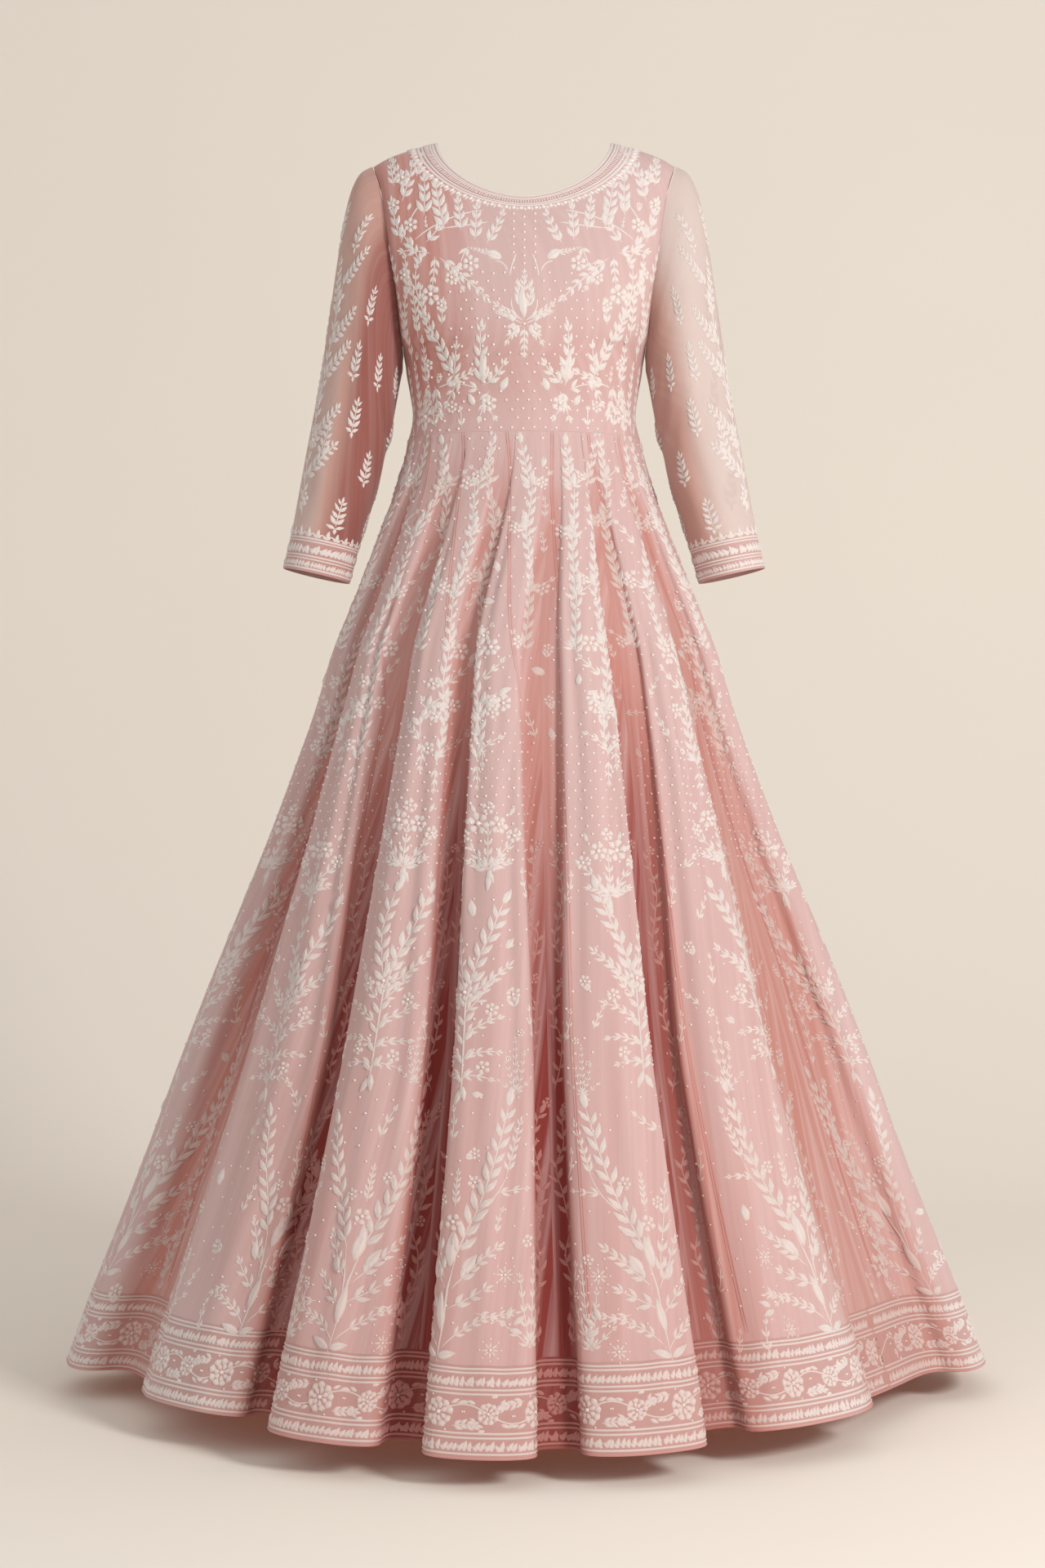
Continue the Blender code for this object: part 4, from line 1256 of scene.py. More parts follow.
def sleeve_panel(way):
    """A sleeve and its cuff, measured round from the middle of its front."""
    angles = np.linspace(-0.5 * np.pi, 1.5 * np.pi, 2 * SLEEVE_COLUMNS + 1)
    down = np.linspace(0.0, CUFF_END, SLEEVE_SAMPLES)
    turned = np.mod(angles[:-1], 2 * np.pi)
    order = np.argsort(turned)
    points, normals = sleeve_outer(down, turned[order], way)
    if way > 0:
        points, normals = points[:, ::-1], normals[:, ::-1]
    back = np.argsort(order)
    points, normals = points[:, back], normals[:, back]
    points, normals = joined_up(points), joined_up(normals)
    if way > 0:
        points, normals = points[:, ::-1], normals[:, ::-1]
    across, length = centred(points, SLEEVE_COLUMNS)
    return Panel(points, normals, np.zeros(across.shape), across, length,
                 -SLEEVE_REACH, SLEEVE_REACH)


def neck_panel():
    """The neck band and a little of the bodice round it, measured along its middle."""
    shares = np.linspace(0.0, 2.4, 25)
    points, normals = neck_grid(shares)
    lift = BAND_LIFT * (1 - ease((shares - 0.98) / 0.02))
    points = points + normals * lift[:, None, None]
    points, normals = joined_up(points), joined_up(normals)
    across, down = centred(points, NECK_COLUMNS // 4)
    steady = np.broadcast_to(across[NECK_MIDDLE], across.shape)
    return Panel(points, normals, np.zeros(steady.shape), steady, down,
                 float(steady[0, 0]), float(steady[0, -1]))


kali_panels = [kali_panel(i) for i in range(KALI_COUNT)]
hem_panels = {name: hem_panel(name) for name in BORDERS}
bodice_panels = {side: bodice_panel(side) for side in ("front", "back")}
sleeve_panels = {"left": sleeve_panel(1), "right": sleeve_panel(-1)}
neck = neck_panel()
kali_lengths = [round(float(p.down[-1]), 3) for p in kali_panels]
print("length of each kali with its border:", kali_lengths)

# %% [markdown]
# ## The embroiderer's motifs
#
# The work is satin stitch over padding: each leaf is two fat ridges of thread with a
# groove between them. Stems are cords, and pearls fill the ground. A motif has only a
# few faces, because there are thousands. A `Needle` gathers flat motifs for one panel
# and lays them all at once.

# %% Flat forms of a leaf and a pearl
def halves(quads):
    """Each four-cornered face as two triangles, turned to face out of the cloth."""
    return [quads[:, [0, 2, 1]], quads[:, [0, 3, 2]]]


def leaf_form(stations, ridges, power=0.82):
    """A leaf of length and width 1: across each station a profile of ridge and groove.

    Its half-width is sin(pi s^power) at s along it, so both ends are pointed, and
    a power over 1 makes it widest towards its tip, as a petal is."""
    s = np.asarray(stations)
    half = np.sin(np.pi * s**power)
    across, height = np.array(ridges).T
    count = len(across)
    rows = np.stack([
        np.broadcast_to(s[:, None], (len(s), count)),
        half[:, None] * across[None, :],
        (0.35 + 0.65 * half)[:, None] * height[None, :],
    ], axis=-1).reshape(-1, 3)
    verts = np.vstack([(0.0, 0.0, 0.0), rows, (1.0, 0.0, 0.0)])
    faces = halves(grid_faces(len(s), count, False) + 1)
    j = np.arange(count - 1)
    last = 1 + (len(s) - 1) * count
    tip = len(verts) - 1
    faces.append(np.stack([0 * j, 2 + j, 1 + j], axis=-1))
    faces.append(np.stack([last + j, last + j + 1, 0 * j + tip], axis=-1))
    return verts, np.concatenate(faces)


def dome_form(sides, levels):
    """A dome of radius and height 1: rings at the given angles up from its foot."""
    turn = np.linspace(0.0, 2 * np.pi, sides, endpoint=False)
    rings = [np.stack([np.cos(up) * np.cos(turn), np.cos(up) * np.sin(turn),
                       np.full(sides, np.sin(up))], axis=-1) for up in levels]
    verts = np.vstack([*rings, (0.0, 0.0, 1.0)])
    faces = halves(grid_faces(len(levels), sides, True))
    j = np.arange(sides) + (len(levels) - 1) * sides
    k = (np.arange(sides) + 1) % sides + (len(levels) - 1) * sides
    faces.append(np.stack([j, k, np.full(sides, len(verts) - 1)], axis=-1))
    return verts, np.concatenate(faces)


# the profile across a leaf: places from edge to edge, and their heights
GROOVED = ((-1.0, 0.0), (-0.52, 1.0), (0.0, 0.45), (0.52, 1.0), (1.0, 0.0))
RIDGED = ((-1.0, 0.0), (0.0, 1.0), (1.0, 0.0))
# metres: leaves shorter than this are sewn without a middle groove
SLIM_UNDER = 0.0112
FORMS = {
    "leaf": leaf_form((0.18, 0.48, 0.8), GROOVED),
    "slim_leaf": leaf_form((0.17, 0.48, 0.82), RIDGED),
    "large_leaf": leaf_form((0.08, 0.22, 0.4, 0.58, 0.76, 0.92), GROOVED),
    "small_leaf": leaf_form((0.25, 0.72), RIDGED),
    "petal": leaf_form((0.38, 0.7, 0.92), RIDGED, 1.5),
    "pearl": dome_form(6, (0.0, 0.75)),
}
for name, (verts, faces) in FORMS.items():
    print(name, "has", len(faces), "triangles")


# %% A needle for one panel
# painted shade at the foot of a stitch: how far it takes on the colour of a recess
FOOT_PAINTED_SHADE = 0.3
# metres by which a leaf's edge is sunk, so that it meets the cloth
SUNK = 0.00005
# least and greatest height of a leaf
LEAF_HEIGHTS = (0.0008, 0.0021)
# half the distance between the places that show how a panel's directions slant
PROBE = 0.004
THREAD_SLOT, PEARL_SLOT, PIPING_SLOT = range(3)
stitched = []


def matched(*values):
    """Numbers or rows of numbers as columns of one height, one line for each motif."""
    rows = (np.atleast_1d(np.asarray(value, float)) for value in values)
    return (row[:, None] for row in np.broadcast_arrays(*rows))


class Needle:
    """Flat motifs for one panel. Directions are turns from straight up, clockwise.

    Across is x, down is y, and moved_to() changes where and how every motif drawn after
    it is placed."""

    def __init__(self, panel, seed):
        self.panel = panel
        self.draw = np.random.default_rng(seed)
        self.flat, self.faces, self.uv, self.kinds = [], [], [], []
        self.foot_shade_rows = []
        self.count = 0
        self.origin = (0.0, 0.0)
        self.way = 1.0
        self.size = 1.0
        self.skew = 0.0

    def moved_to(self, x, y, way=1.0, size=1.0, squared=False):
        """Sets where the next motifs' own (0, 0) is, whether mirrored, and their scale.

        Squared, they are also slid down in proportion to their place across, by the cosine
        between the panel's two directions there, so that they keep their shape."""
        self.origin, self.way, self.size = (x, y), way, size
        self.skew = 0.0
        if squared:
            reach = np.array([-PROBE, PROBE, 0.0, 0.0])
            points, _ = self.panel.lay(x + reach, y + reach[::-1], np.zeros(4))
            self.skew = float(unit(points[1] - points[0]) @ unit(points[2] - points[3]))
        return self

    def add(self, flat, faces, uv, kind, low):
        """Keeps flat points (across, down, out), triangles, thread, and how much painted shade each
        point gets by lying low at a stitch's foot.
        """
        flat = np.array(flat, float)
        flat[:, 0] = self.origin[0] + self.way * self.size * flat[:, 0]
        slid = self.skew * (flat[:, 0] - self.origin[0])
        flat[:, 1] = self.origin[1] + self.size * flat[:, 1] - slid
        if self.way < 0:
            faces = faces[:, ::-1]
        self.flat.append(flat)
        self.faces.append(faces + self.count)
        self.uv.append(uv)
        self.foot_shade_rows.append(np.broadcast_to(low, len(flat)))
        self.kinds.append(np.full(len(faces), kind, np.int32))
        self.count += len(flat)

    def add_copies(self, px, py, out, faces, uv, kind, stitch_foot_shade):
        """Adds a form once for each row of px, py and out, which hold its moved points."""
        count, points = px.shape
        flat = np.stack([px, py, np.broadcast_to(out, px.shape)], axis=-1).reshape(-1, 3)
        if uv is None:
            uv = flat[:, :2].copy()
        starts = np.arange(count)[:, None, None] * points
        low = np.tile(FOOT_PAINTED_SHADE * stitch_foot_shade, count)
        self.add(flat, (faces[None] + starts).reshape(-1, 3), uv, kind, low)

    def leaves(self, x, y, turn, length, width, bend=0.0, height=None, form=None):
        """Leaves with their feet at x, y: a form carried along an arc that turns by bend."""
        x, y, turn, length, width, bend = matched(x, y, turn, length, width, bend)
        count = len(x)
        turn = turn + self.draw.normal(0.0, 0.08, (count, 1))
        length = length * self.draw.uniform(0.9, 1.1, (count, 1))
        form = form or ("leaf" if length.mean() > SLIM_UNDER else "slim_leaf")
        verts, faces = FORMS[form]
        s, t, h = verts.T
        if height is None:
            height = np.clip(0.24 * width, *LEAF_HEIGHTS)
        aim = turn + bend * s / 2
        here = turn + bend * s
        px = x + length * s * np.sin(aim) + np.cos(here) * t * width / 2
        py = y - length * s * np.cos(aim) + np.sin(here) * t * width / 2
        uv = np.stack([length * s, width * t / 2], axis=-1).reshape(-1, 2)
        self.add_copies(px, py, h * height - SUNK, faces, uv * self.size, THREAD_SLOT, 1 - h)

    def dots(self, x, y, radius, height=0.8):
        """Pearls: a dome at each place, its height a share of its radius."""
        x, y, radius = matched(x, y, radius)
        verts, faces = FORMS["pearl"]
        across, up, out = verts.T
        self.add_copies(x + across * radius, y - up * radius, out * radius * height, faces, None,
                        PEARL_SLOT, 1 - out)

    def cord(self, x, y, width=0.0018, height=None, kind=THREAD_SLOT):
        """A raised line along a path: a low ridge whose ends taper to a point."""
        x, y = np.asarray(x, float), np.asarray(y, float)
        height = 0.42 * width if height is None else height
        tangent = np.stack([np.gradient(x), np.gradient(y)], axis=-1)
        tangent = unit(tangent + 1e-12)
        side = np.stack([-tangent[:, 1], tangent[:, 0]], axis=-1) * width / 2
        taper = np.ones(len(x))
        taper[[0, -1]] = 0.35
        path = np.stack([x, y], axis=-1)
        rows = []
        for share, up in ((1.0, 0.0), (0.0, 1.0), (-1.0, 0.0)):
            flat = path + side * share * taper[:, None]
            rows.append(np.concatenate([flat, (up * height * taper)[:, None]], axis=-1))
        flat = np.stack(rows, axis=1)
        quads = grid_faces(len(x), 3, False)
        faces = np.concatenate([quads[:, [0, 1, 2]], quads[:, [0, 2, 3]]])
        along = running(np.hypot(np.diff(x), np.diff(y)))
        uv = np.stack([np.repeat(along, 3), np.tile([0.0, 0.5, 1.0], len(x)) * width], axis=-1)
        # painted shade along both feet of the cord
        low = np.tile((FOOT_PAINTED_SHADE, 0.0, FOOT_PAINTED_SHADE), len(x))
        self.add(flat.reshape(-1, 3), faces, uv, kind, low)

    def line(self, x, y, width, height=None, kind=THREAD_SLOT):
        """A cord at one depth, through the places x."""
        self.cord(x, np.full(len(x), y), width, height, kind)

    def sewn(self, node):
        """Lays everything on the panel as one object, and counts its triangles."""
        name = node + "_embroidery"
        stitched.append(name)
        flat = np.concatenate(self.flat)
        points, shade = self.panel.lay(flat[:, 0], flat[:, 1], flat[:, 2])
        faces = np.concatenate(self.faces)
        # each stitch's colour: the panel's painted shade under it, plus painted shade at its foot
        shade = np.clip(shade + np.concatenate(self.foot_shade_rows), 0.0, 1.0)
        obj = new_mesh(name, points, faces, np.concatenate(self.uv), shade)
        for material in (thread, pearl, piping):
            obj.data.materials.append(material)
        obj.data.polygons.foreach_set("material_index", np.concatenate(self.kinds))
        return len(faces)


print("slots of thread, pearls and piping:", THREAD_SLOT, PEARL_SLOT, PIPING_SLOT)

# %% Sprays, flowers and buds
# width of a vine's leaf, as a share of its length
VINE_LEAF_WIDE = 0.4


def arc(x, y, turn, length, bend, count):
    """Places and directions along a stem that starts at x, y and turns evenly by bend."""
    s = np.linspace(0.0, 1.0, count)
    here = turn + bend * s
    step = length / (count - 1)
    px = x + running(np.sin(here[:-1]) * step)
    py = y - running(np.cos(here[:-1]) * step)
    return px, py, here


def tendril(needle, x, y, turn, length, bend, count, width):
    """A curved cord that starts at x, y, and the places and directions along it."""
    px, py, here = arc(x, y, turn, length, bend, count)
    needle.cord(px, py, width)
    return px, py, here


def spray(needle, x, y, turn, length, leaf=0.014, pairs=7, bend=0.0, taper=0.45,
          spread=0.7, wide=0.38, bare=0.1, stem=0.0016, form=None):
    """A stem with leaves in pairs, smaller towards its tip, and one leaf at the end."""
    px, py, here = tendril(needle, x, y, turn, length, bend, max(5, pairs + 3), stem)
    s = np.linspace(bare, 0.94, pairs)
    at = s * (len(px) - 1)
    order = np.arange(len(px))
    fx, fy, fa = (np.interp(at, order, v) for v in (px, py, here))
    size = leaf * (1 - taper * s**1.5)
    for way in (-1.0, 1.0):
        needle.leaves(fx, fy, fa + way * spread, size, size * wide, -way * 0.45, form=form)
    tip = leaf * (1 - taper) * 1.15
    needle.leaves(px[-1], py[-1], here[-1], tip, tip * wide, 0.0, form=form)


def vine(needle, xs, ys, leaf=0.016, gap=0.017, spread=0.7, stem=0.0018, taper=0.0):
    """A stem through the given places, going up, with leaf pairs a gap apart."""
    run = running(np.hypot(np.diff(xs), np.diff(ys)))
    at = np.linspace(0.0, run[-1], max(6, int(run[-1] / 0.008)))
    px, py = through(at, run, xs), through(at, run, ys)
    needle.cord(px, py, stem)
    turn = np.arctan2(np.gradient(px), -np.gradient(py))
    stops = np.arange(gap * 0.5, run[-1] - gap * 0.3, gap)
    size = leaf * (1 - taper * stops / run[-1]) * needle.draw.uniform(0.9, 1.08, len(stops))
    for way in (-1.0, 1.0):
        here = stops + way * gap * 0.12
        fx, fy, fa = (np.interp(here, at, v) for v in (px, py, turn))
        needle.leaves(fx, fy, fa + way * spread, size, size * VINE_LEAF_WIDE, -way * 0.35)
    needle.leaves(px[-1], py[-1], turn[-1], leaf * 0.95, leaf * 0.45)


def sprig(needle, x, y, turn, length, pairs=6):
    """A little fir-like sprig of short fine leaves."""
    spray(needle, x, y, turn, length, leaf=length * 0.27, pairs=pairs, taper=0.6,
          spread=0.8, wide=0.42, bare=0.22, stem=0.0013, form="small_leaf")


def flower(needle, x, y, radius, petals=6, turn=0.0):
    """Rounded petals about a pearl."""
    spin = turn + np.arange(petals) * 2 * np.pi / petals
    foot = 0.22 * radius
    needle.leaves(x + foot * np.sin(spin), y - foot * np.cos(spin), spin, radius * 0.82,
                  2 * np.pi * radius * 0.7 / petals, 0.0, form="petal")
    needle.dots(x, y, radius * 0.26, 0.9)


def star(needle, x, y, radius):
    """Eight fine points with a pearl beyond each and one in the middle."""
    spin = np.arange(8) * np.pi / 4
    needle.leaves(x + 0.2 * radius * np.sin(spin), y - 0.2 * radius * np.cos(spin), spin,
                  radius * 0.7, radius * 0.28, 0.0, form="small_leaf")
    needle.dots(x, y, radius * 0.2)
    needle.dots(x + radius * 1.15 * np.sin(spin), y - radius * 1.15 * np.cos(spin), radius * 0.12)


def spear(needle, x, y, turn, length, wide=0.3):
    """One long leaf that stands by itself."""
    needle.leaves(x, y, turn, length, length * wide, 0.12, form="large_leaf")


def bud(needle, x, y, turn, length):
    """A bud: a fat leaf between two narrow ones that curl round it."""
    needle.leaves(x, y, turn, length, length * 0.55, 0.0)
    for way in (-1.0, 1.0):
        needle.leaves(x, y, turn + way * 0.55, length * 0.72, length * 0.22, -way * 0.7,
                      form="small_leaf")


print("a stem 0.1 m long that turns by 1 leans:", round(float(arc(0, 0, 0, 0.1, 1, 9)[0][-1]), 3))


# %% [markdown]
# ## The work on a kali
#
# From the waist down a kali carries a leafy vine, a few sprays, a ground of pearls, a
# middle tree under a head of flowers, and a tall tree that grows out of the hem
# border. Fine vines run in the recess beside it. The trees are drawn once, as
# functions, and each kali's row says where they stand and which way they lean.

# %% Where a panel's edges are
def across_at(panel, down, share):
    """The flat place across, at a depth down, of a share of the kali's own width."""
    row = np.interp(down, panel.down, np.arange(len(panel.down), dtype=float))
    wanted = KALI_COLUMNS * (1 + share)
    places = np.linspace(panel.first, panel.last, panel.samples)
    near = np.atleast_1d(np.round(row).astype(int))
    return np.array([np.interp(wanted, panel.column[k], places) for k in near])


hem_edges = [float(across_at(kali_panels[0], -HEM_Z + WAIST_Z, share)[0]) for share in (0, 1)]
print("seams of kali_01 at the hem:", [round(edge, 3) for edge in hem_edges])

# %% Trees
def fronds(needle, rows, **look):
    """Sprays from rows of x, y, turn, length, leaf, pairs and bend."""
    for x, y, turn, long, leaf, pairs, bend in rows:
        spray(needle, x, y, turn, long, leaf=leaf, pairs=pairs, bend=bend, **look)


def flowers(needle, *rows):
    """Flowers from rows of x, y, radius and petals."""
    for x, y, radius, petals in rows:
        flower(needle, x, y, radius, petals, 40 * x)


# the sprays at the foot of a low tree
LOW_FAN = (
    # x      y       turn   long   leaf  pairs bend
    (0.014, -0.076, 0.72, 0.066, 0.0175, 5, 0.2), (0.01, -0.054, 1.02, 0.046, 0.018, 3, 0.05),
    (0.006, -0.076, -0.55, 0.054, 0.016, 4, 0.15), (0.004, -0.05, -0.85, 0.04, 0.015, 3, 0.25),
    (0.002, -0.012, -0.62, 0.064, 0.0125, 6, -1.00), (0.006, -0.014, 0.72, 0.088, 0.013, 7, 0.85),
    (0.04, -0.052, 1.75, 0.03, 0.011, 3, 0.3), (-0.026, -0.052, -1.75, 0.026, 0.0105, 3, -0.3),
)
# its single long leaves: x, y, turn, length, width as a share of the length
LOW_SPEARS = (
    (0.011, -0.098, 0.04, 0.04, 0.36), (0.004, -0.03, 0.1, 0.042, 0.28),
    (0.024, -0.092, 0.55, 0.026, 0.5), (-0.006, -0.084, -0.3, 0.024, 0.4),
    (0.0, -0.004, 1.15, 0.024, 0.4), (0.0, -0.004, -1.15, 0.024, 0.4),
)


def climbing(needle, xs, heights, leaf, **look):
    """A vine through places given by their heights above the motif's foot."""
    vine(needle, xs, -np.array(heights), leaf=leaf, **look)


def low_tree(needle, many):
    """The tall tree on the border, 0.27 m high, with one stem or two that lean apart."""
    climbing(needle, (0.016, 0.026, 0.044, 0.058, 0.068), (0.108, 0.134, 0.176, 0.224, 0.272),
             0.0235, gap=0.0165, taper=0.28)
    needle.cord((0.0, 0.006, 0.009, 0.018), (0.0, -0.04, -0.076, -0.112), 0.0028)
    if many > 1:
        needle.cord((0.006, 0.004, 0.0), (-0.052, -0.082, -0.116), 0.0024)
        climbing(needle, (0.0, -0.012, -0.028, -0.038), (0.112, 0.15, 0.195, 0.24),
                 0.0215, gap=0.0165, taper=0.3)
    else:
        fronds(needle, ((0.005, -0.086, -0.26, 0.096, 0.017, 5, 0.15),))
    fronds(needle, LOW_FAN, bare=0.22)
    px, py, _ = tendril(needle, 0.038, -0.158, 0.95, 0.052, -0.75, 6, 0.0015)
    fronds(needle, ((px[-1], py[-1], 0.22, 0.058, 0.0125, 6, 0.0),
                    (px[3], py[3], 1.35, 0.03, 0.011, 3, 0.25),
                    (0.014, -0.162, 0.0, 0.036, 0.0105, 5, 0.1)))
    flowers(needle, (0.012, -0.146, 0.0095, 5), (0.034, -0.19, 0.0075, 6),
            (-0.004, -0.168, 0.007, 6))
    for row in LOW_SPEARS:
        spear(needle, *row)
    star(needle, 0.058, -0.014, 0.01)
    star(needle, 0.071, -0.093, 0.0105)
    needle.leaves((0.074, 0.08, 0.076), (-0.046, -0.04, -0.036), (0.2, 1.0, 1.9),
                  0.017, 0.0075, 0.1)


EDGE_TREE_HEIGHT = 0.1


def edge_tree(needle):
    """A thin upright plant at the side of a fold, 0.10 m high."""
    fronds(needle, ((0, 0, -0.06, 0.1, 0.0125, 7, 0.05), (0, 0, 0.22, 0.074, 0.012, 5, -0.1),
                    (0, 0, -0.36, 0.064, 0.012, 5, 0.15), (0, 0, 0.75, 0.04, 0.011, 3, 0.2),
                    (0, 0, -0.85, 0.04, 0.011, 3, -0.2)))
    flowers(needle, (0.006, -0.112, 0.0075, 5), (-0.016, -0.066, 0.006, 5))


MIDDLE_ARMS = (
    # x      y       turn  long   leaf    pairs bend, drawn to both sides
    (0.002, -0.074, 0.8, 0.046, 0.013, 4, -0.3), (0.002, -0.05, 0.95, 0.042, 0.0125, 4, 0.3),
    (0.001, -0.026, 1.15, 0.038, 0.0115, 4, 0.6), (0.000, -0.006, 1.45, 0.03, 0.011, 3, 0.5),
)


def middle_tree(needle, many):
    """A tree 0.20 m high: a stem with leaf pairs, fronds above and a garland at its foot."""
    climbing(needle, (0.0, 0.001, 0.002, 0.008), (-0.01, 0.045, 0.08, 0.108), 0.0165,
             gap=0.0205, spread=0.85, stem=0.0022)
    climbing(needle, (0.006, 0.014, 0.028, 0.042), (0.098, 0.13, 0.16, 0.196), 0.0205,
             gap=0.016, taper=0.15)
    if many > 1:
        climbing(needle, (0.002, -0.004, -0.008, 0.002), (0.09, 0.12, 0.15, 0.196), 0.019,
                 gap=0.016, taper=0.15)
    else:
        fronds(needle, ((0.001, -0.092, -0.16, 0.062, 0.0135, 5, 0.1),))
    fronds(needle, ((0.005, -0.092, 0.95, 0.056, 0.0155, 5, -0.15),))
    for way in (-1.0, 1.0):
        fronds(needle, ((way * x, y, way * turn, long, leaf, pairs, way * bend)
                        for x, y, turn, long, leaf, pairs, bend in MIDDLE_ARMS))
    flowers(needle, (0.001, -0.096, 0.01, 6), (-0.018, -0.092, 0.0085, 6),
            (0.03, -0.078, 0.008, 6), (0.022, -0.016, 0.0075, 5), (-0.02, -0.02, 0.007, 5))
    needle.leaves(0.0, (0.004, 0.008), (2.8, 3.5), 0.02, 0.008, 0.1)


def flower_head(needle):
    """The head above a middle tree: flowers over a fork of small sprays."""
    flowers(needle, (-0.008, -0.052, 0.013, 6), (0.016, -0.05, 0.011, 6), (0.034, -0.038, 0.009, 6),
            (-0.026, -0.036, 0.0085, 6), (0.004, -0.07, 0.008, 5))
    leans = ((-0.6, 0.046), (0.0, 0.044), (0.6, 0.052), (-1.0, 0.024), (0.95, 0.026))
    fronds(needle, ((0.004, 0.004, lean, long, 0.014, 4, lean * 0.4) for lean, long in leans))
    needle.leaves((0.004, 0.008, 0.006), (0.004, 0.002, 0.006), (2.7, 3.5, 3.1),
                  (0.02, 0.017, 0.024), (0.007, 0.0065, 0.0075), 0.1)
    needle.leaves((-0.018, -0.012, 0.028), (-0.05, -0.064, -0.062), (-0.9, -0.4, 0.5),
                  0.012, 0.0055)


def hanging_spray(needle):
    """A spray that arches over and ends in flowers, 0.06 m across."""
    px, py, _ = tendril(needle, 0.0, 0.0, -0.35, 0.06, 1.7, 9, 0.0018)
    for k, lean in ((2, -0.9), (3, 0.2), (5, 0.1), (6, 1.9), (8, 1.2)):
        needle.leaves(px[k], py[k], lean, 0.017, 0.0085, 0.1)
        needle.leaves(px[k], py[k], lean + 0.8, 0.014, 0.0065, -0.1)
    flowers(needle, (px[-1] + 0.006, py[-1] + 0.012, 0.01, 6),
            (px[-1] - 0.006, py[-1] + 0.024, 0.008, 5))
    fronds(needle, ((0.0, 0.004, -0.85, 0.034, 0.0125, 4, 0.2),
                    (0.0, 0.006, 2.9, 0.03, 0.012, 3, 0.3)))


def slender_stem(needle):
    """A leafy stem 0.15 m long with flowers and side sprays, that hangs below a vine."""
    vine(needle, (0.0, 0.004, -0.005, -0.001), (0.15, 0.1, 0.045, -0.004),
         leaf=0.0165, gap=0.015, spread=0.62, stem=0.0017, taper=0.1)
    flowers(needle, (0.014, 0.01, 0.011, 6), (0.016, 0.076, 0.009, 6), (-0.016, 0.05, 0.0085, 5),
            (-0.012, 0.128, 0.008, 5))
    fronds(needle, ((0.002, 0.05, 0.95, 0.034, 0.0125, 3, -0.3),
                    (0.0, 0.094, -0.95, 0.036, 0.0125, 4, 0.3),
                    (0.0, 0.14, 0.85, 0.034, 0.012, 3, 0.2),
                    (0.0, 0.152, 3.0, 0.026, 0.011, 3, 0.2)))


print("sprays at the foot of a low tree:", len(LOW_FAN))

# %% Grounds of pearls, recess vines and pin tucks
def pearl_ground(needle, panel, top, bottom, gap, share=(0.0, 1.0), radius=0.0014, keep=1.0):
    """Pearls in staggered rows between two depths and two shares of the kali's width."""
    xs, ys = [], []
    for k, y in enumerate(np.arange(top, bottom, gap * 0.86)):
        low = across_at(panel, y, share[0])[0]
        high = across_at(panel, y, share[1])[0]
        x = np.arange(-0.24 + (k % 2) * gap / 2, 0.24, gap)
        x = x[(x > low + 0.004) & (x < high - 0.004)]
        x = x[needle.draw.random(len(x)) < keep]
        xs.append(x + needle.draw.normal(0, gap * 0.04, len(x)))
        ys.append(np.full(len(x), y) + needle.draw.normal(0, gap * 0.04, len(x)))
    xs, ys = np.concatenate(xs), np.concatenate(ys)
    needle.dots(xs, ys, radius * needle.draw.uniform(0.8, 1.15, len(xs)))


# the vines of a recess: depth of the tip and of the foot, and leaf, then its sprays' depths
RECESS_VINES = ((0.53, 0.66, 0.013), (0.69, 0.80, 0.012), (0.83, 0.94, 0.015),
                (0.955, 1.06, 0.015))
RECESS_SPRAYS = (0.585, 0.745, 0.90, 1.02)


def recess_vines(needle, panel, side):
    """Long thin plants in the recess on one side (-1 left, 1 right) of the kali."""
    share = 0.1 if side < 0 else 0.9
    for top, foot, leaf in RECESS_VINES:
        y = np.linspace(foot, top, 5)
        x = across_at(panel, y, share) + 0.006 * np.sin(y * 70 + side)
        x = x + needle.draw.normal(0, 0.002)
        vine(needle, x, y, leaf=leaf, gap=0.0165, spread=0.8, stem=0.0015, taper=0.2)
        flower(needle, x[-1] + 0.007, top - 0.012, 0.006, 5)
    for y in RECESS_SPRAYS:
        x = across_at(panel, y, share)[0] - side * 0.018
        spray(needle, x, y, -side * 0.5, 0.036, leaf=0.0105, pairs=3, bend=side * 0.5)
    spray(needle, across_at(panel, 1.075, share)[0], 1.075, -side * 0.3, 0.05, leaf=0.013, pairs=4)


def pin_tuck(needle, x, y):
    """Two fine ridges of the cloth itself, 3 mm apart, that run down a panel."""
    at = np.linspace(0.0, 1.0, 60)
    run = (np.array(y) - y[0]) / (y[-1] - y[0])
    px, py = through(at, run, x), y[0] + (y[-1] - y[0]) * at
    for way in (-1.0, 1.0):
        needle.cord(px + way * 0.0014, py, 0.002, 0.0008, PIPING_SLOT)


print("vines down one recess:", len(RECESS_VINES))

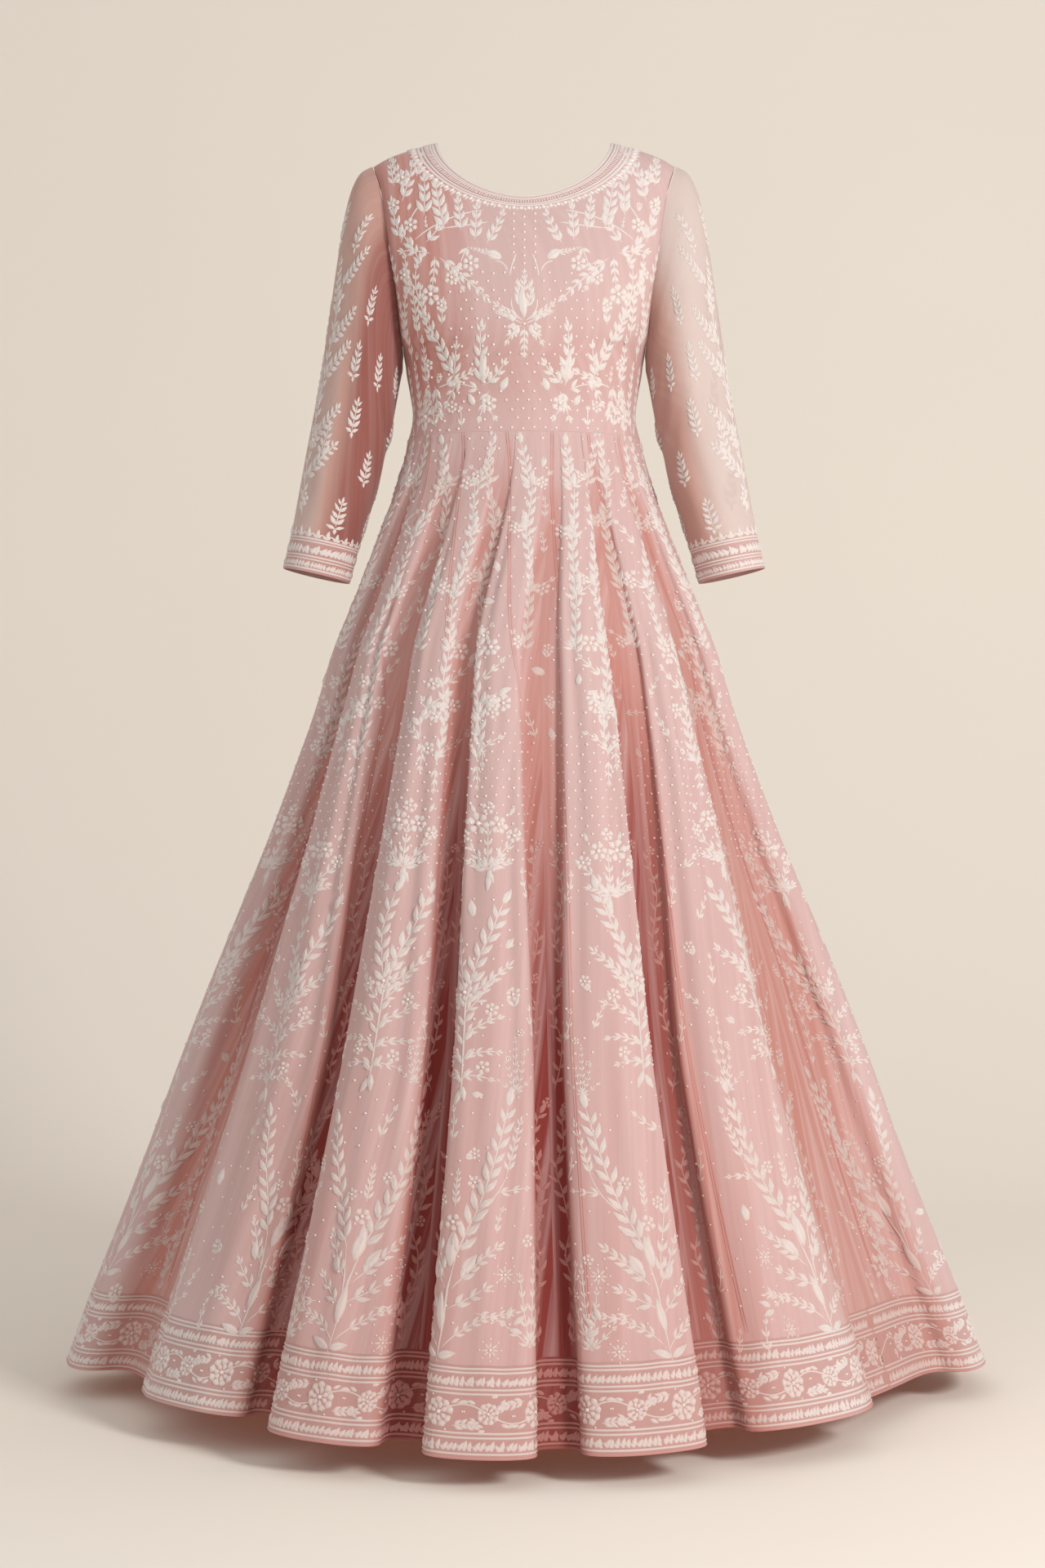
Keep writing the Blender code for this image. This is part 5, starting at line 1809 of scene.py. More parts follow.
# %% One row a kali
# "tuck": places across of its pin tuck at TUCK_DOWN. "vines": each a tuple of places
# across at VINE_DOWN. The rest are where each motif stands across, and which way it
# leans: 1 to the right, -1 to the left.
TUCK_DOWN = (0.0, 0.1, 0.21, 0.366, 0.58, 0.8, 1.06)
VINE_DOWN = (0.012, 0.066, 0.126, 0.19, 0.262)
KALI_WORK = {
    1: {"tuck": (-0.027, -0.016, 0.004, 0.032, 0.046, 0.055, 0.066),
        "vines": ((-0.008, 0.001, 0.009, 0.026, 0.04), (-0.049, -0.045, -0.037, -0.044, -0.036)),
        "stem": (-0.022, 0.27, 1), "spray": (-0.018, 0.385, 1), "head": (-0.01, 0.545, 1),
        "middle": (-0.032, 0.792, 1, 1), "low": (-0.048, 1.09, 1, 1),
        "extras": ((0.028, 0.804, 0.06), (0.052, 1.075, 0.1))},
    2: {"tuck": (-0.022, -0.03, -0.032, -0.038, -0.04, -0.044, -0.052),
        "vines": ((-0.004, -0.007, -0.005, -0.01, -0.012), (0.028, 0.02, 0.016, 0.018, 0.02)),
        "stem": (0.018, 0.262, -1), "spray": (0.03, 0.385, -1), "head": (0.012, 0.574, -1),
        "middle": (0.036, 0.774, -1, 1), "low": (0.034, 1.09, -1, 1),
        "extras": ((-0.036, 0.804, 0.055), (-0.052, 1.075, 0.085))},
    3: {"tuck": (-0.022, -0.024, -0.034, -0.052, -0.062, -0.07, -0.08),
        "vines": ((-0.004, -0.016, -0.03, -0.038, -0.044), (0.03, 0.034, 0.022, 0.004, -0.006)),
        "stem": (0.014, 0.27, -1), "spray": (0.06, 0.36, -1), "head": (0.03, 0.53, -1),
        "middle": (0.048, 0.768, -1, 2), "low": (0.034, 1.076, -1, 2),
        "extras": ((-0.03, 0.8, 0.08), (0.105, 1.065, 0.11))},
    4: {"tuck": (-0.026, -0.04, -0.062, -0.088, -0.12, -0.155, -0.195),
        "vines": ((0.0, -0.006, -0.014, -0.022, -0.03), (0.028, 0.03, 0.034, 0.038, 0.044)),
        "stem": (-0.062, 0.262, -1), "spray": (-0.07, 0.38, -1), "head": (-0.062, 0.576, -1),
        "middle": (-0.078, 0.798, -1, 1), "low": (-0.1, 1.085, -1, 2),
        "extras": ((0.03, 0.7, 0.08), (0.03, 1.07, 0.11))},
    14: {"tuck": (0.024, 0.034, 0.046, 0.06, 0.084, 0.11, 0.15),
         "vines": ((0.0, 0.004, 0.008, 0.014, 0.02), (-0.026, -0.028, -0.032, -0.036, -0.04)),
         "stem": (0.044, 0.262, 1), "spray": (0.046, 0.38, 1), "head": (0.034, 0.542, 1),
         "middle": (0.03, 0.772, 1, 1), "low": (0.048, 1.06, 1, 2),
         "extras": ((-0.04, 0.7, 0.08), (-0.05, 1.06, 0.11))},
    15: {"tuck": (-0.016, 0.002, 0.018, 0.056, 0.066, 0.08, 0.1),
         "vines": ((0.006, 0.018, 0.012, 0.01, 0.008), (-0.026, -0.024, -0.026, -0.03, -0.034)),
         "stem": (0.03, 0.262, 1), "spray": (-0.006, 0.38, 1), "head": (0.004, 0.57, 1),
         "middle": (0.008, 0.796, 1, 2), "low": (0.07, 1.076, 1, 2),
         "extras": ((-0.06, 0.74, 0.09), (-0.07, 1.07, 0.11))},
    16: {"tuck": (-0.024, -0.012, 0.008, 0.04, 0.056, 0.068, 0.08),
         "vines": ((-0.048, -0.041, -0.03, -0.019, -0.012), (0.012, 0.006, 0.01, 0.014, 0.022)),
         "stem": (0.028, 0.27, 1), "spray": (0.006, 0.385, 1), "head": (0.000, 0.538, 1),
         "middle": (-0.002, 0.776, 1, 2), "low": (0.004, 1.082, 1, 2),
         "extras": ((0.05, 0.79, 0.06), (-0.056, 1.075, 0.095))},
}


def plain_work(i):
    """The same work on a kali at the back, in its middle, leaning one way or the other."""
    way = 1 if i % 2 else -1
    return {"tuck": tuple(-way * v for v in (0.024, 0.026, 0.032, 0.038, 0.048, 0.058, 0.07)),
            "vines": ((0.0, 0.003 * way, 0.0, -0.003 * way, 0.0),),
            "stem": (-0.01 * way, 0.27, way), "spray": (0.0, 0.385, way),
            "head": (0.0, 0.556 + 0.016 * way, way),
            "middle": (-0.02 * way, 0.784 - 0.012 * way, way, 1 + i % 2),
            "low": (-0.034 * way, 1.08, way, 1 + (i // 2) % 2),
            "extras": ((0.036 * way, 0.8, 0.055),)}


print("kalis with rows of their own:", sorted(KALI_WORK))

# %% Sew the kalis
# each frond of an upper vine: foot and tip depth, how far it leans, leaf, leaf pairs
FRONDS = ((0.276, 0.196, 0.004, 0.019, 5), (0.204, 0.116, -0.004, 0.0195, 6),
          (0.126, 0.06, 0.005, 0.0175, 4), (0.068, 0.01, -0.003, 0.017, 4))
# random places tried when a panel is filled
PLACES_TRIED = 420
MIDDLE_SCALE = 1.04


def upper_vine(needle, places, k):
    """A vine from the waist down, as four fronds one above the other with flowers between."""
    shift = needle.draw.uniform(-0.012, 0.012)
    for n, (foot, tip, lean, leaf, pairs) in enumerate(FRONDS):
        down = shift * np.sin(np.pi * n / 4)
        foot, tip = foot + shift * np.sin(np.pi * (n + 1) / 5), tip + down
        y = np.linspace(foot, tip, 4)
        x = np.interp(y, VINE_DOWN, places) + lean * (1 - 2 * (k % 2)) * np.linspace(-0.6, 1, 4)
        gap = (foot - tip) / (pairs + 0.5)
        vine(needle, x, y, leaf=(leaf - 0.003 * k) * needle.draw.uniform(0.88, 1.06), gap=gap,
             spread=0.58, taper=0.3)
        side = 1.0 if (n + k) % 2 else -1.0
        if needle.draw.random() < 0.6:
            radius = needle.draw.uniform(0.0065, 0.0095)
            flower(needle, x[0] + side * 0.014, foot - 0.008, radius, 6)
        spray(needle, x[0], foot - 0.004, side * 0.95, 0.026, leaf=0.012, pairs=2)
        needle.leaves(x[0], foot, -side * 1.1, 0.015, 0.0065, side * 0.4)


def filling(needle, panel, top, bottom, room=0.0125, reach=None, most=0.034):
    """Small sprays, buds and flowers wherever a seeded random place has room round it.

    A place's room is its distance to the nearest stitch laid before it."""
    laid = np.concatenate(needle.flat)[::3, :2]
    y = needle.draw.uniform(top, bottom, PLACES_TRIED)
    low, high = reach or (across_at(panel, y, share) for share in (0.04, 0.96))
    x = low + (high - low) * needle.draw.random(PLACES_TRIED)
    free = np.sqrt(((x[:, None] - laid[:, 0]) ** 2 + (y[:, None] - laid[:, 1]) ** 2).min(axis=1))
    chosen = []
    for k in np.argsort(-free):
        if free[k] < room:
            break
        apart = (math.hypot(x[k] - x[m], y[k] - y[m]) for m in chosen)
        if all(gap > 0.95 * (free[k] + free[m]) * 0.85 for gap, m in zip(apart, chosen)):
            chosen.append(k)
    for k in chosen:
        tall = min(most, 1.55 * free[k])
        lean = needle.draw.normal(0.0, 0.55)
        foot = x[k] - 0.45 * tall * math.sin(lean), y[k] + 0.45 * tall * math.cos(lean)
        kind = needle.draw.random()
        if kind < 0.6:
            spray(needle, *foot, lean, tall, leaf=0.36 * tall, pairs=3,
                  bend=needle.draw.normal(0, 0.35))
        elif kind < 0.78:
            bud(needle, *foot, lean, 0.62 * tall)
        else:
            flower(needle, x[k], y[k], 0.27 * tall, 6, lean)
            needle.leaves(*foot, (lean - 0.5, lean + 0.5), 0.4 * tall, 0.16 * tall)


def sew_kali(i):
    """All the raised work of one kali, and its pin tuck, as one piece."""
    panel = kali_panels[i]
    needle = Needle(panel, 100 + i)
    work = KALI_WORK.get(i + 1) or plain_work(i)
    pin_tuck(needle, work["tuck"], TUCK_DOWN)
    for k, places in enumerate(work["vines"]):
        upper_vine(needle, places, k)
    for key, draw in (("stem", slender_stem), ("spray", hanging_spray), ("head", flower_head)):
        draw(needle.moved_to(*work[key]))
    x, y, way, many = work["middle"]
    middle_tree(needle.moved_to(x, y, way, MIDDLE_SCALE), many)
    x, y, way, many = work["low"]
    low_tree(needle.moved_to(x, y, way), many)
    for k, (x, y, tall) in enumerate(work["extras"]):
        edge_tree(needle.moved_to(x, y, -way if k else way, tall / EDGE_TREE_HEIGHT))
    needle.moved_to(0.0, 0.0)
    for side in (-1, 1):
        recess_vines(needle, panel, side)
    filling(needle, panel, 0.03, 0.4, 0.015)
    filling(needle, panel, 0.53, 1.075, 0.015)
    pearl_ground(needle, panel, 0.008, 0.38, 0.015, (0.04, 0.96), 0.0017, 0.75)
    pearl_ground(needle, panel, 0.385, 0.545, 0.0125, (0.02, 0.98), 0.0017)
    pearl_ground(needle, panel, 0.55, 1.06, 0.02, (0.04, 0.96), 0.0015, 0.55)
    return needle.sewn(kali_names[i])


kali_triangles = [sew_kali(i) for i in range(KALI_COUNT)]
print("triangles of stitching on the kalis:", sum(kali_triangles), kali_triangles[:4])

# %% [markdown]
# ## The hem border
#
# The border repeats one length of pattern: between pairs of cords, a close row of
# leaves, a scroll with a big flower in each turn, and a second row of leaves, then a
# piped edge. It is drawn for the whole length of each of the four border pieces.

# %% Border pattern
# depth of each cord and of each leaf row below the border's seam
BORDER_CORDS = (0.0035, 0.0075, 0.0245, 0.029, 0.068, 0.0725, 0.0885)
LEAF_ROWS = (0.016, 0.0805)
SCROLL = {"middle": 0.0485, "swing": 0.0095, "length": 0.104}


def leaf_row(needle, low, high, y, size):
    """Two tiers of close small leaves, long ones leaning one way over short ones leaning back."""
    x = np.arange(low + size, high - size, size * 0.56)
    sway = needle.draw.normal(0.0, 0.18, len(x))
    needle.leaves(x, y + size * 0.54, 0.26 + sway, size * 1.08, size * 0.58, 0.2, 0.0012)
    needle.leaves(x + size * 0.22, y + size * 0.52, -0.7 + sway, size * 0.74, size * 0.44,
                  -0.2, 0.001)


def rosette(needle, x, y, radius):
    """A round flower: a ring of broad overlapping petals, and a smaller flower on it."""
    spin = np.arange(9) * 2 * np.pi / 9
    needle.leaves(x + 0.46 * radius * np.sin(spin), y - 0.46 * radius * np.cos(spin), spin,
                  radius * 0.56, radius * 0.64, 0.0, form="petal")
    flower(needle, x, y, radius * 0.62, 7, 0.3)


def scroll(needle, low, high):
    """A waving stem with a flower at each crossing, and sprays in the hollows it leaves.

    Every second flower is turned about, so its stem always climbs towards its own right."""
    middle, swing, length = SCROLL["middle"], SCROLL["swing"], SCROLL["length"]
    x = np.linspace(low, high, int((high - low) / 0.0055))
    needle.cord(x, middle + swing * np.sin(2 * np.pi * x / length), 0.0018)
    first = math.ceil(low / (length / 2))
    for k in range(first, int(high / (length / 2)) + 1):
        x0 = k * length / 2
        if not low + 0.018 < x0 < high - 0.018:
            continue
        needle.moved_to(x0, middle, 1.0 if k % 2 else -1.0)
        rosette(needle, 0.0, 0.0, 0.0155 if k % 2 else 0.0115)
        for way in (-1.0, 1.0):
            up = np.pi * (way < 0)
            if k % 2:
                spray(needle, way * 0.015, way * 0.0125, up + 1.42, 0.023, leaf=0.01, pairs=4,
                      wide=0.5, bend=0.25 * way, taper=0.2)
            else:
                bud(needle, way * 0.003, way * 0.0165, up + 1.9, 0.0085)
                needle.leaves(way * 0.0125, way * 0.0085, up + np.array([1.1, 1.8, 2.5]),
                              0.009, 0.0042)
            needle.leaves(way * np.array([0.013, 0.023]), way * np.array([-0.01, -0.0125]),
                          up + np.array([1.15, 1.75]), [0.0105, 0.0095], 0.0045)
            needle.dots(way * np.array([0.008, 0.027]), way * np.array([0.017, -0.002]), 0.0013)
    needle.moved_to(0.0, 0.0)


def sew_border(name):
    """Cords, leaf rows and scroll over the whole length of one border piece."""
    panel = hem_panels[name]
    needle = Needle(panel, sum(map(ord, name)))
    low, high = panel.first + 0.0005, panel.last - 0.0005
    x = np.linspace(low, high, int((high - low) / 0.006))
    for y in BORDER_CORDS:
        needle.line(x, y, 0.0024)
    for y in LEAF_ROWS:
        leaf_row(needle, low, high, y, 0.0098)
    scroll(needle, low, high)
    x = np.linspace(low, high, int((high - low) / 0.007))
    needle.line(x, panel.down[-1] - 0.0016, 0.003, 0.0012, PIPING_SLOT)
    return needle.sewn(name)


print("triangles of stitching on the border:", sum(sew_border(name) for name in BORDERS))

# %% [markdown]
# ## The work on the bodice, neck and sleeves
#
# The bodice is worked as a mirror image left and right of its middle: sprays fall from
# the shoulders, vines climb the sides, and two small trees rise from the waist towards
# a pendant in the middle. The sleeves carry scattered sprigs and a vine down the
# outside, and the neck and cuffs have narrow bands like the hem's.

# %% Bodice work
# each spray: foot across and down, direction, length, leaf, pairs, bend
BODICE_SPRAYS = (
    # the branch along the shoulder and its leaves
    (0.119, 0.1, -0.05, 0.046, 0.0185, 4, 0.1), (0.094, 0.118, 0.24, 0.056, 0.019, 5, -0.12),
    (0.074, 0.12, 0.1, 0.036, 0.015, 4, 0.05), (0.058, 0.132, -0.05, 0.04, 0.015, 4, 0.0),
    (0.044, 0.136, -0.55, 0.04, 0.014, 4, 0.2), (0.066, 0.14, 2.6, 0.022, 0.012, 2, 0.3),
    (0.146, 0.08, -0.32, 0.06, 0.016, 5, 0.2), (0.138, 0.064, 0.6, 0.042, 0.014, 4, -0.2),
    (0.128, 0.05, -0.25, 0.03, 0.0125, 3, 0.1), (0.157, 0.06, 0.2, 0.036, 0.012, 4, 0.0),
    (0.15, 0.126, 0.28, 0.046, 0.0165, 4, -0.1), (0.132, 0.14, 0.7, 0.04, 0.015, 3, -0.3),
    (0.116, 0.132, -0.8, 0.034, 0.014, 3, 0.3),
    # from the armhole down to the bust
    (0.1, 0.152, -2.25, 0.074, 0.015, 6, -0.12), (0.112, 0.146, 1.3, 0.038, 0.0135, 3, 0.3),
    (0.106, 0.15, 3.1, 0.036, 0.0115, 4, -0.2), (0.084, 0.16, -2.9, 0.03, 0.011, 3, 0.3),
    (0.124, 0.16, 0.35, 0.032, 0.014, 3, 0.2), (0.124, 0.22, 0.15, 0.034, 0.013, 4, -0.2),
    (0.1, 0.23, -0.1, 0.026, 0.0115, 3, 0.0), (0.114, 0.25, 0.3, 0.034, 0.013, 4, 0.1),
    # the trees that rise from the waist
    (0.086, 0.288, 0.52, 0.076, 0.018, 6, -0.15), (0.048, 0.302, 0.16, 0.066, 0.0185, 5, -0.25),
    (0.086, 0.29, -0.1, 0.034, 0.015, 3, 0.0), (0.1, 0.298, -1.35, 0.038, 0.014, 4, 0.25),
    (0.114, 0.298, -3.0, 0.034, 0.015, 3, 0.2), (0.122, 0.3, 2.6, 0.03, 0.0135, 3, -0.1),
    (0.078, 0.292, 2.5, 0.032, 0.0135, 3, 0.1), (0.044, 0.3, -0.85, 0.03, 0.0145, 3, 0.3),
    (0.054, 0.306, 1.15, 0.026, 0.0135, 2, 0.3), (0.042, 0.308, 2.75, 0.032, 0.0135, 3, 0.1),
    (0.05, 0.316, -2.6, 0.026, 0.012, 2, 0.1), (0.1, 0.332, 1.2, 0.028, 0.0115, 3, 0.0),
    (0.112, 0.346, 0.3, 0.03, 0.0125, 3, 0.1), (0.076, 0.348, 0.05, 0.02, 0.01, 2, 0.0),
)
# sprays at the side: foot across and down, turn, length, bend
SIDE_SPRAYS = ((0.137, 0.242, -0.12, 0.074, 0.5), (0.157, 0.266, 0.1, 0.086, -0.5),
               (0.15, 0.196, -0.3, 0.05, 0.5), (0.165, 0.18, 0.05, 0.046, 0.3),
               (0.124, 0.296, 0.34, 0.052, -0.5), (0.147, 0.35, -0.14, 0.078, 0.4),
               (0.13, 0.354, 0.2, 0.05, -0.5), (0.166, 0.342, -0.08, 0.066, 0.3),
               (0.128, 0.204, 0.3, 0.044, -0.6), (0.166, 0.246, -0.2, 0.056, 0.5))
BODICE_FLOWERS = ((0.113, 0.194, 0.012), (0.131, 0.332, 0.0115), (0.042, 0.322, 0.01),
                  (0.063, 0.16, 0.01), (0.099, 0.208, 0.0075), (0.089, 0.324, 0.0075),
                  (0.146, 0.05, 0.01), (0.158, 0.084, 0.0085), (0.086, 0.176, 0.0085),
                  (0.136, 0.11, 0.0095), (0.148, 0.168, 0.009), (0.124, 0.274, 0.008))


# the bare tendrils of each side: foot across and down, direction, length, bend
BODICE_TENDRILS = ((0.13, 0.128, -0.95, 0.09, -0.55), (0.017, 0.176, -0.15, 0.028, -0.3),
                   (0.02, 0.17, 0.2, 0.02, 1.5), (0.094, 0.116, -1.5, 0.052, 0.1),
                   (0.108, 0.3, -1.4, 0.03, 0.3), (0.15, 0.13, -0.4, 0.05, -0.3))


def bodice_half(needle, way):
    """The sprays, flowers and tendrils of one side, where way is 1 for the side x grows to."""
    needle.moved_to(0.0, 0.0, way)
    for x, y, turn, long, leaf, pairs, bend in BODICE_SPRAYS:
        spray(needle, x, y, turn, long, leaf=leaf, pairs=pairs, bend=bend, wide=0.42)
    for x, y, turn, long, bend in SIDE_SPRAYS:
        spray(needle, x, y, turn, long, leaf=0.0125, pairs=round(long / 0.0105), bend=bend,
              wide=0.42)
    for x, y, size in BODICE_FLOWERS:
        flower(needle, x, y, size, 6)
    spear(needle, 0.049, 0.3, 0.02, 0.04, 0.26)
    bud(needle, 0.028, 0.308, -0.5, 0.018)
    bud(needle, 0.06, 0.324, 0.6, 0.016)
    for row in BODICE_TENDRILS:
        tendril(needle, *row, 9, 0.0018)
    bud(needle, 0.026, 0.154, 1.15, 0.022)
    sprig(needle, 0.036, 0.15, 1.25, 0.028, 5)


# where the columns of pearls start, how far down the pendant reaches, and the pearls'
# distance and radius
PEARLS_FROM = {"front": 0.1, "back": 0.082}
PENDANT_DOWN = (0.172, 0.262)
PEARL_GAP = 0.0125
BODICE_PEARL = 0.0017
BODICE_SEEDS = {"front": 31, "back": 32}


def pendant(needle):
    """The pendant in the middle of the chest: a leafy drop on two arms and a point."""
    needle.moved_to(0.0, 0.0)
    for way in (-1.0, 1.0):
        tendril(needle, way * 0.002, 0.228, way * 1.0, 0.03, -way * 1.2, 8, 0.0017)
        tendril(needle, way * 0.001, 0.232, way * 1.15, 0.036, way * 0.1, 6, 0.0016)
        sprig(needle, way * 0.018, 0.222, way * 1.25, 0.018, 5)
        needle.leaves(way * np.array((0.006, 0.009, 0.012)), (0.236, 0.234, 0.23),
                      way * np.array((2.3, 1.7, 0.6)), (0.014, 0.012, 0.013), 0.006, 0.1)
        needle.leaves(way * np.array((0.004, 0.006, 0.007)), (0.19, 0.199, 0.209),
                      way * np.array((0.75, 0.7, 0.5)), (0.011, 0.012, 0.012), 0.005, -way * 0.3)
        fronds(needle, ((way * 0.006, 0.226, way * 1.15, 0.03, 0.012, 4, -way * 0.3),
                        (way * 0.004, 0.234, way * 2.25, 0.024, 0.0115, 3, way * 0.4),
                        (way * 0.002, 0.214, way * 0.42, 0.03, 0.0105, 4, -way * 0.5)))
        flower(needle, way * 0.013, 0.238, 0.0075, 6)
    spear(needle, 0.0, 0.226, 0.0, 0.036, 0.3)
    fronds(needle, ((0.0, 0.196, 0.0, 0.024, 0.0095, 4, 0.0),
                    (0.0, 0.236, np.pi, 0.03, 0.011, 4, 0.0)))
    needle.dots((0.0, 0.01, -0.01), (0.232, 0.246, 0.246), 0.0018)


def bodice_pearls(needle, side):
    """Three columns of pearls down the middle, then a staggered ground to the waist."""
    y = np.arange(PEARLS_FROM[side], PENDANT_DOWN[0] - 0.004, 0.0095)
    for x in (-PEARL_GAP, 0.0, PEARL_GAP):
        needle.dots(x, y + (0.0 if x else 0.004), BODICE_PEARL)
    for k, y in enumerate(np.arange(PENDANT_DOWN[0], 0.3545, 0.0105)):
        reach = 0.088 if y < 0.285 else 0.125
        x = np.arange(-reach + (k % 2) * 0.0065, reach, 0.013)
        clear = (np.abs(x) > 0.02) | (y > PENDANT_DOWN[1]) | (y < PENDANT_DOWN[0])
        x = x[clear & (needle.draw.random(len(x)) < (0.85 if y < 0.29 else 0.7))]
        needle.dots(x, y + needle.draw.normal(0, 0.0005, len(x)), BODICE_PEARL)


def sew_bodice(side):
    """All the raised work of the bodice's front or back, as one piece."""
    needle = Needle(bodice_panels[side], BODICE_SEEDS[side])
    for way in (-1.0, 1.0):
        bodice_half(needle, way)
    pendant(needle)
    needle.moved_to(0.0, 0.0)
    for way in (-1.0, 1.0):
        for top, bottom, outer in ((0.15, 0.348, 0.166), (0.045, 0.13, 0.145)):
            filling(needle, bodice_panels[side], top, bottom, 0.008, (way * 0.1, way * outer),
                    0.024)
    bodice_pearls(needle, side)
    return needle.sewn("bodice_" + side)


print("triangles of stitching on the bodice:", [sew_bodice(side) for side in ("front", "back")])

# %% Neck band work
NECK_SEED = 51
# how far from the neckline each cord lies, and its width
NECK_CORDS = ((0.0008, 0.0022), (0.0034, 0.0014), (0.005, 0.0012), (0.0104, 0.0016),
              (0.013, 0.002))


def sew_neck():
    """Cords along both edges, short bars between them, and a scallop of beads outside."""
    needle = Needle(neck, NECK_SEED)
    for y, width in NECK_CORDS:
        needle.line(np.linspace(neck.first, neck.last, 300), y, width)
    bars = np.arange(neck.first, neck.last, 0.003)
    needle.leaves(bars, 0.01, 0.0, 0.0048, 0.0021, 0.0, 0.0009, form="small_leaf")
    scallop = np.arange(neck.first, neck.last, 0.0074)
    needle.dots(scallop, 0.0163, 0.0024, 0.6)
    needle.leaves(scallop + 0.0037, 0.0146, np.pi, 0.0058, 0.0034, 0.0, 0.001)
    return needle.sewn("neck_band")


print("triangles of stitching on the neck band:", sew_neck())

# %% Sleeve and cuff work
# sprigs on the wearer's right sleeve: across and down; the left is its mirror image
SLEEVE_SPRIGS = ((-0.06, 0.045), (0.008, 0.07), (0.046, 0.115), (-0.006, 0.15), (0.008, 0.205),
                 (0.04, 0.245), (-0.03, 0.262), (0.012, 0.325), (0.105, 0.075), (0.1, 0.165),
                 (0.098, 0.26), (0.07, 0.32), (0.14, 0.12), (0.14, 0.215),
                 (-0.112, 0.07), (-0.108, 0.16), (-0.105, 0.245), (-0.152, 0.118), (-0.142, 0.204),
                 (-0.122, 0.3), (0.172, 0.06), (0.134, 0.3))
# the vine down the outside: places down and across, and its branches with their sides
OUTER_DOWN = (0.335, 0.28, 0.22, 0.16, 0.105)
OUTER_ACROSS = (-0.038, -0.054, -0.06, -0.064, -0.067)
OUTER_BRANCHES = ((0.105, 1), (0.135, -1), (0.165, 1), (0.2, 1), (0.235, -1), (0.265, 1), (0.3, 1))


SLEEVE_SEED = 61
# each cord of the cuff: its place below the cuff's seam, and its width
CUFF_CORDS = ((0.003, 0.0022), (0.0062, 0.0016), (0.0235, 0.002), (0.027, 0.0016),
              (0.0385, 0.0024))
# each row of leaves on the cuff: its place below the seam, and the leaves' size
CUFF_LEAF_ROWS = ((0.015, 0.0105), (0.0328, 0.0072))


def sleeve_sprig(needle):
    """A small plant: a leafy tip over two arms and a foot."""
    spray(needle, 0.0, 0.01, 0.08, 0.031, leaf=0.0145, pairs=4, taper=0.42, spread=0.98,
          wide=0.42)
    needle.leaves(0.0, 0.013, (-1.2, 1.25, 3.0), (0.012, 0.012, 0.008), 0.005)


def sew_cuff(needle, ring, seam):
    """Cords and leaf rows round the cuff, and a fringe of leaves above its seam."""
    x = np.linspace(-ring / 2, ring / 2, 72)
    for y, width in CUFF_CORDS:
        needle.line(x, seam + y, width)
    for y, size in CUFF_LEAF_ROWS:
        leaf_row(needle, -ring / 2 - size, ring / 2 + 0.6 * size, seam + y, size)
    for place in np.arange(-ring / 2, ring / 2 - 0.004, 0.012):
        needle.leaves(place, seam + 0.0012, 0.0, 0.011, 0.0052)
        needle.leaves(place, seam + 0.0012, (-0.85, 0.85), 0.0078, 0.0034)
        needle.dots(place + 0.006, seam - 0.003, 0.0011)


def sew_sleeve(label, way):
    """Sprigs, a branching vine down the outside, and the embroidered cuff."""
    panel = sleeve_panels[label]
    needle = Needle(panel, SLEEVE_SEED)
    needle.moved_to(0.0, 0.0, way)
    for x, y in SLEEVE_SPRIGS:
        sleeve_sprig(needle.moved_to(way * x, y, way, squared=True))
    needle.moved_to(0.0, 0.0, way)
    vine(needle, OUTER_ACROSS, OUTER_DOWN, leaf=0.0125, gap=0.015, spread=0.85)
    flower(needle, -0.052, 0.262, 0.009, 6)
    for down, side in OUTER_BRANCHES:
        across = way * float(np.interp(down, OUTER_DOWN[::-1], OUTER_ACROSS[::-1]))
        spray(needle.moved_to(across, down, way, squared=True), 0.0, 0.0, 0.12 + side * 0.62,
              0.058, leaf=0.015, pairs=6, bend=-side * 0.2, spread=0.9, wide=0.44)
    needle.moved_to(0.0, 0.0, way)
    flower(needle, -0.04, 0.318, 0.0075, 5)
    seam = float(np.interp(1.0, np.linspace(0.0, CUFF_END, SLEEVE_SAMPLES), panel.down))
    sew_cuff(needle, cuts["cuff_left_cloth"][0], seam)
    return needle.sewn("sleeve_" + label)


sleeve_ways = {"left": -1.0, "right": 1.0}
print("triangles of stitching on the sleeves:", [sew_sleeve(*s) for s in sleeve_ways.items()])

# %% [markdown]
# ## What each piece is
#
# Every shell gets its finish and stands for the imported node of the same name, which
# is hidden. The gown is one body, so everything rides on it.

# %% Ride and replace
BAND_PIECES = ("neck_band", "cuff_left", "cuff_right", *BORDERS)


for node in sorted(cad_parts):
    piece = pieces[node + "_cloth"]
    if node in BAND_PIECES:
        finish, slot_name = band_cloth, "embroidered_band"
    elif node.startswith("sleeve"):
        finish, slot_name = organza, "organza"
    else:
        finish, slot_name = georgette, "georgette"
    piece.data.materials.append(finish)
    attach(piece, "root")
    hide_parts(node)
for name in stitched:
    piece = pieces[name]
    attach(piece, "root")
print("cloth pieces:", len(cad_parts), "stitched pieces:", len(stitched))

# %% [markdown]
# ## Stage, light and camera
#
# A cream floor curves up into the backdrop, so no line crosses the view. A big soft
# light stands in front to the right, a weaker one fills from the left, and the sky
# is a warm white. The camera looks level, a little above the middle of the skirt.

# %% Floor and backdrop
FLOOR_Z = -1.482
BACKDROP = (0.985, 0.932, 0.858)
# where the floor starts in front, where it begins to turn up, the radius of the turn,
# the wall's height and the sheet's half-width
STAGE = {"front": -3.6, "bend": 1.3, "radius": 1.2, "top": 2.6, "half": 4.5}


